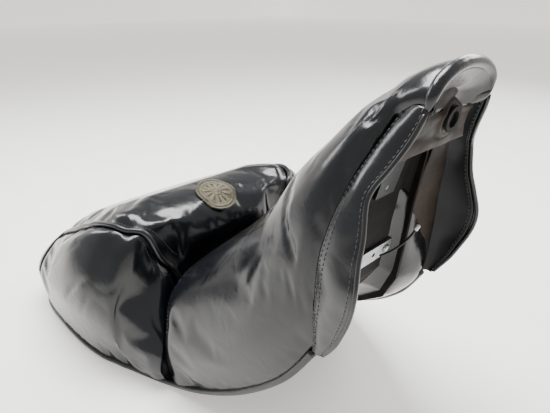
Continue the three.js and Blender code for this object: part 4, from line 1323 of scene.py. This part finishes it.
class SEAT_OT_patch(bpy.types.Operator):
    """Round embroidered patch with a plain rosette, lying on the passenger's panel"""

    bl_idname = "seat.patch"
    bl_label = "Round Patch"

    def execute(self, context):
        sizes = context.scene.seat_sizes
        tree = seek(BUILT["rear"])
        low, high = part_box("emblem_patch")
        centre = Vector(((low.x + high.x) / 2 - 0.003, 0, (low.z + high.z) / 2))
        slope = (high.z - low.z) / (high.x - low.x)

        def laid(points):
            """Plan points on the panel; past its front fold they keep to the patch's own plane."""
            placed = []
            for point in points:
                plane = centre.z - (point.x - centre.x) * slope * 0.9 - 0.001
                hit = tree.ray_cast(Vector((point.x, point.y, 0.6)), Vector((0, 0, -1)))[0]
                ground = hit.z if hit else plane - 0.005
                placed.append(Vector((point.x, point.y, max(ground, plane - 0.005))))
            return placed

        felt = patch_felt(laid, centre, sizes.patch)
        finish_piece(felt, SEAT, "thread", finish("patch_felt"), "emblem_patch")
        paths = patch_threads(laid, centre, sizes.patch, sizes.petals)
        stitch_rows(
            "patch_embroidery", paths, "gold_thread", "thread",
            Pitch=0.0024, Stitch=0.0040, Thread=0.00062, Slant=0.0,
        )
        return {"FINISHED"}


class SEAT_OT_ties(bpy.types.Operator):
    """Loose tie under the nose and the webbing across the backrest pocket"""

    bl_idname = "seat.ties"
    bl_label = "Ties"

    def execute(self, context):
        low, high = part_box("tie_tail")
        start = (high.x - 0.022, high.y - 0.032, low.z + 0.004)
        rise = (high.x - 0.012, high.y - 0.022, low.z + 0.012)
        bend = (high.x - 0.004, high.y - 0.012, low.z + 0.024)
        course = spline([start, rise, bend, (high.x - 0.001, high.y - 0.004, high.z - 0.004)], 40)
        tie = rod("tie_strand", course, 0.0013, 8)
        finish_piece(tie, SEAT, "nylon", finish("nylon"), "tie_tail")
        tip = rod("tie_clip", [course[-2], course[-1] + (course[-1] - course[-4]) * 1.2], 0.0022, 10)
        finish_piece(tip, SEAT, "nylon", finish("white_nylon"))
        low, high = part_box("pocket_strap")
        rows, columns = 14, 40
        grid = np.empty((rows, columns, 3))
        along = np.linspace(0, 1, rows)
        grid[..., 0] = low.x + (high.x - low.x) * along[:, None]
        grid[..., 1] = np.linspace(low.y, high.y, columns)[None, :]
        grid[..., 2] = high.z - 0.004 * np.sin(np.pi * along)[:, None]
        strap = cloth_sheet("pocket_webbing", grid, 0.0016)
        finish_piece(strap, SEAT, "webbing", finish("webbing"), "pocket_strap")
        return {"FINISHED"}


class SEAT_OT_hardware(bpy.types.Operator):
    """Finishes of the moulded pan, the brackets, the socket and the feet"""

    bl_idname = "seat.hardware"
    bl_label = "Hardware Finishes"

    def execute(self, context):
        dress = {
            "seat_pan": "moulded_pan",
            "pan_rail": "coated_steel",
            "nose_tongue": "coated_steel",
            "backrest_receiver": "coated_steel",
            "cross_strap": "zinc_steel",
            "rear_tab": "zinc_steel",
            "receiver_bolt": "zinc_steel",
            "latch_pin": "zinc_steel",
            "rubber_foot": "rubber",
            "nose_grommet": "rubber",
        }
        for name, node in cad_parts.items():
            for start, finish_name in dress.items():
                if name.startswith(start):
                    node.data.materials.clear()
                    node.data.materials.append(finish("zinc_steel" if "rivet" in name else finish_name))
        return {"FINISHED"}


class SEAT_OT_stage(bpy.types.Operator):
    """Pale floor, soft studio light and the camera"""

    bl_idname = "seat.stage"
    bl_label = "Stage"

    def execute(self, context):
        far, right, near, tall = 9, 6, -5, 4
        corners = [(-far, -far, 0), (far, -far, 0), (far, far, 0), (-far, far, 0)]
        floor = mesh_object("floor", corners, [(0, 1, 2, 3)])
        paint = finish("pale_floor")
        shader = paint.node_tree.nodes["Principled BSDF"]
        shader.inputs["Emission Color"].default_value = hex_rgb("#f6f3f0")
        shader.inputs["Emission Strength"].default_value = 0.5
        floor.data.materials.append(paint)
        foot = [(-far, near, 0), (-far, far, 0), (right, far, 0)]
        head = [(right, far, tall), (-far, far, tall), (-far, near, tall)]
        wall = mesh_object("backdrop", foot + head, [(0, 1, 4, 5), (1, 2, 3, 4)])
        wall.data.materials.append(paint)
        world = bpy.data.worlds.new("studio")
        world.use_nodes = True
        background = world.node_tree.nodes["Background"]
        background.inputs["Color"].default_value = hex_rgb("#ffffff")
        background.inputs["Strength"].default_value = 0.7
        context.scene.world = world
        # name, place, what it points at, size in metres, power in watts
        lamps = (
            ("overhead", (-0.25, 0.1, 1.5), (0, 0, 0.1), (1.1, 0.7), 60.0),
            ("left_window", (-1.5, -0.5, 1.2), (0, 0, 0.15), (0.4, 1.0), 12.0),
            ("behind", (0.1, 1.9, 1.3), (0, 0, 0.2), (1.6, 0.6), 34.0),
        )
        for name, place, target, size, power in lamps:
            light = bpy.data.lights.new(name, "AREA")
            light.shape = "RECTANGLE"
            light.size, light.size_y = size
            light.energy = power
            lamp = bpy.data.objects.new(name, light)
            lamp.location = place
            lamp.rotation_euler = (Vector(target) - Vector(place)).to_track_quat("-Z", "Y").to_euler()
            context.scene.collection.objects.link(lamp)
        view = bpy.data.cameras.new("front_quarter")
        view.lens = 28.15
        view.sensor_width = 36
        camera = bpy.data.objects.new("front_quarter", view)
        camera.location = seat_point(444.8, -325.8, 454.3)
        turn, tilt = math.radians(47), math.radians(26)
        look = Vector((-math.sin(turn) * math.cos(tilt), math.cos(turn) * math.cos(tilt), -math.sin(tilt)))
        camera.rotation_euler = look.to_track_quat("-Z", "Y").to_euler()
        context.scene.collection.objects.link(camera)
        context.scene.camera = camera
        return {"FINISHED"}


PIECES = (
    SEAT_OT_rider_cushion,
    SEAT_OT_rear_cushion,
    SEAT_OT_piping,
    SEAT_OT_skirts,
    SEAT_OT_nose,
    SEAT_OT_closing_strips,
    SEAT_OT_stitching,
    SEAT_OT_patch,
    SEAT_OT_ties,
    SEAT_OT_hardware,
    SEAT_OT_stage,
)


class SEAT_PT_trim(bpy.types.Panel):
    """Sizes, colours and pieces of the seat"""

    bl_idname = "SEAT_PT_trim"
    bl_label = "Touring Seat Trim"
    bl_space_type = "VIEW_3D"
    bl_region_type = "UI"
    bl_category = "Seat"

    def draw(self, context):
        for group in (context.scene.seat_sizes, context.scene.seat_colours):
            for name in group.bl_rna.properties.keys():
                if name not in ("rna_type", "name"):
                    self.layout.prop(group, name)
        for piece in PIECES:
            self.layout.operator(piece.bl_idname)


CLASSES = (SEAT_PG_sizes, SEAT_PG_colours, *PIECES, SEAT_PT_trim)


def register():
    for cls in CLASSES:
        bpy.utils.register_class(cls)
    bpy.types.Scene.seat_sizes = PointerProperty(type=SEAT_PG_sizes)
    bpy.types.Scene.seat_colours = PointerProperty(type=SEAT_PG_colours)


def unregister():
    del bpy.types.Scene.seat_sizes
    del bpy.types.Scene.seat_colours
    for cls in reversed(CLASSES):
        bpy.utils.unregister_class(cls)


def main():
    register()
    for piece in PIECES:
        group, name = piece.bl_idname.split(".")
        getattr(getattr(bpy.ops, group), name)()


if __name__ == "__main__":
    main()
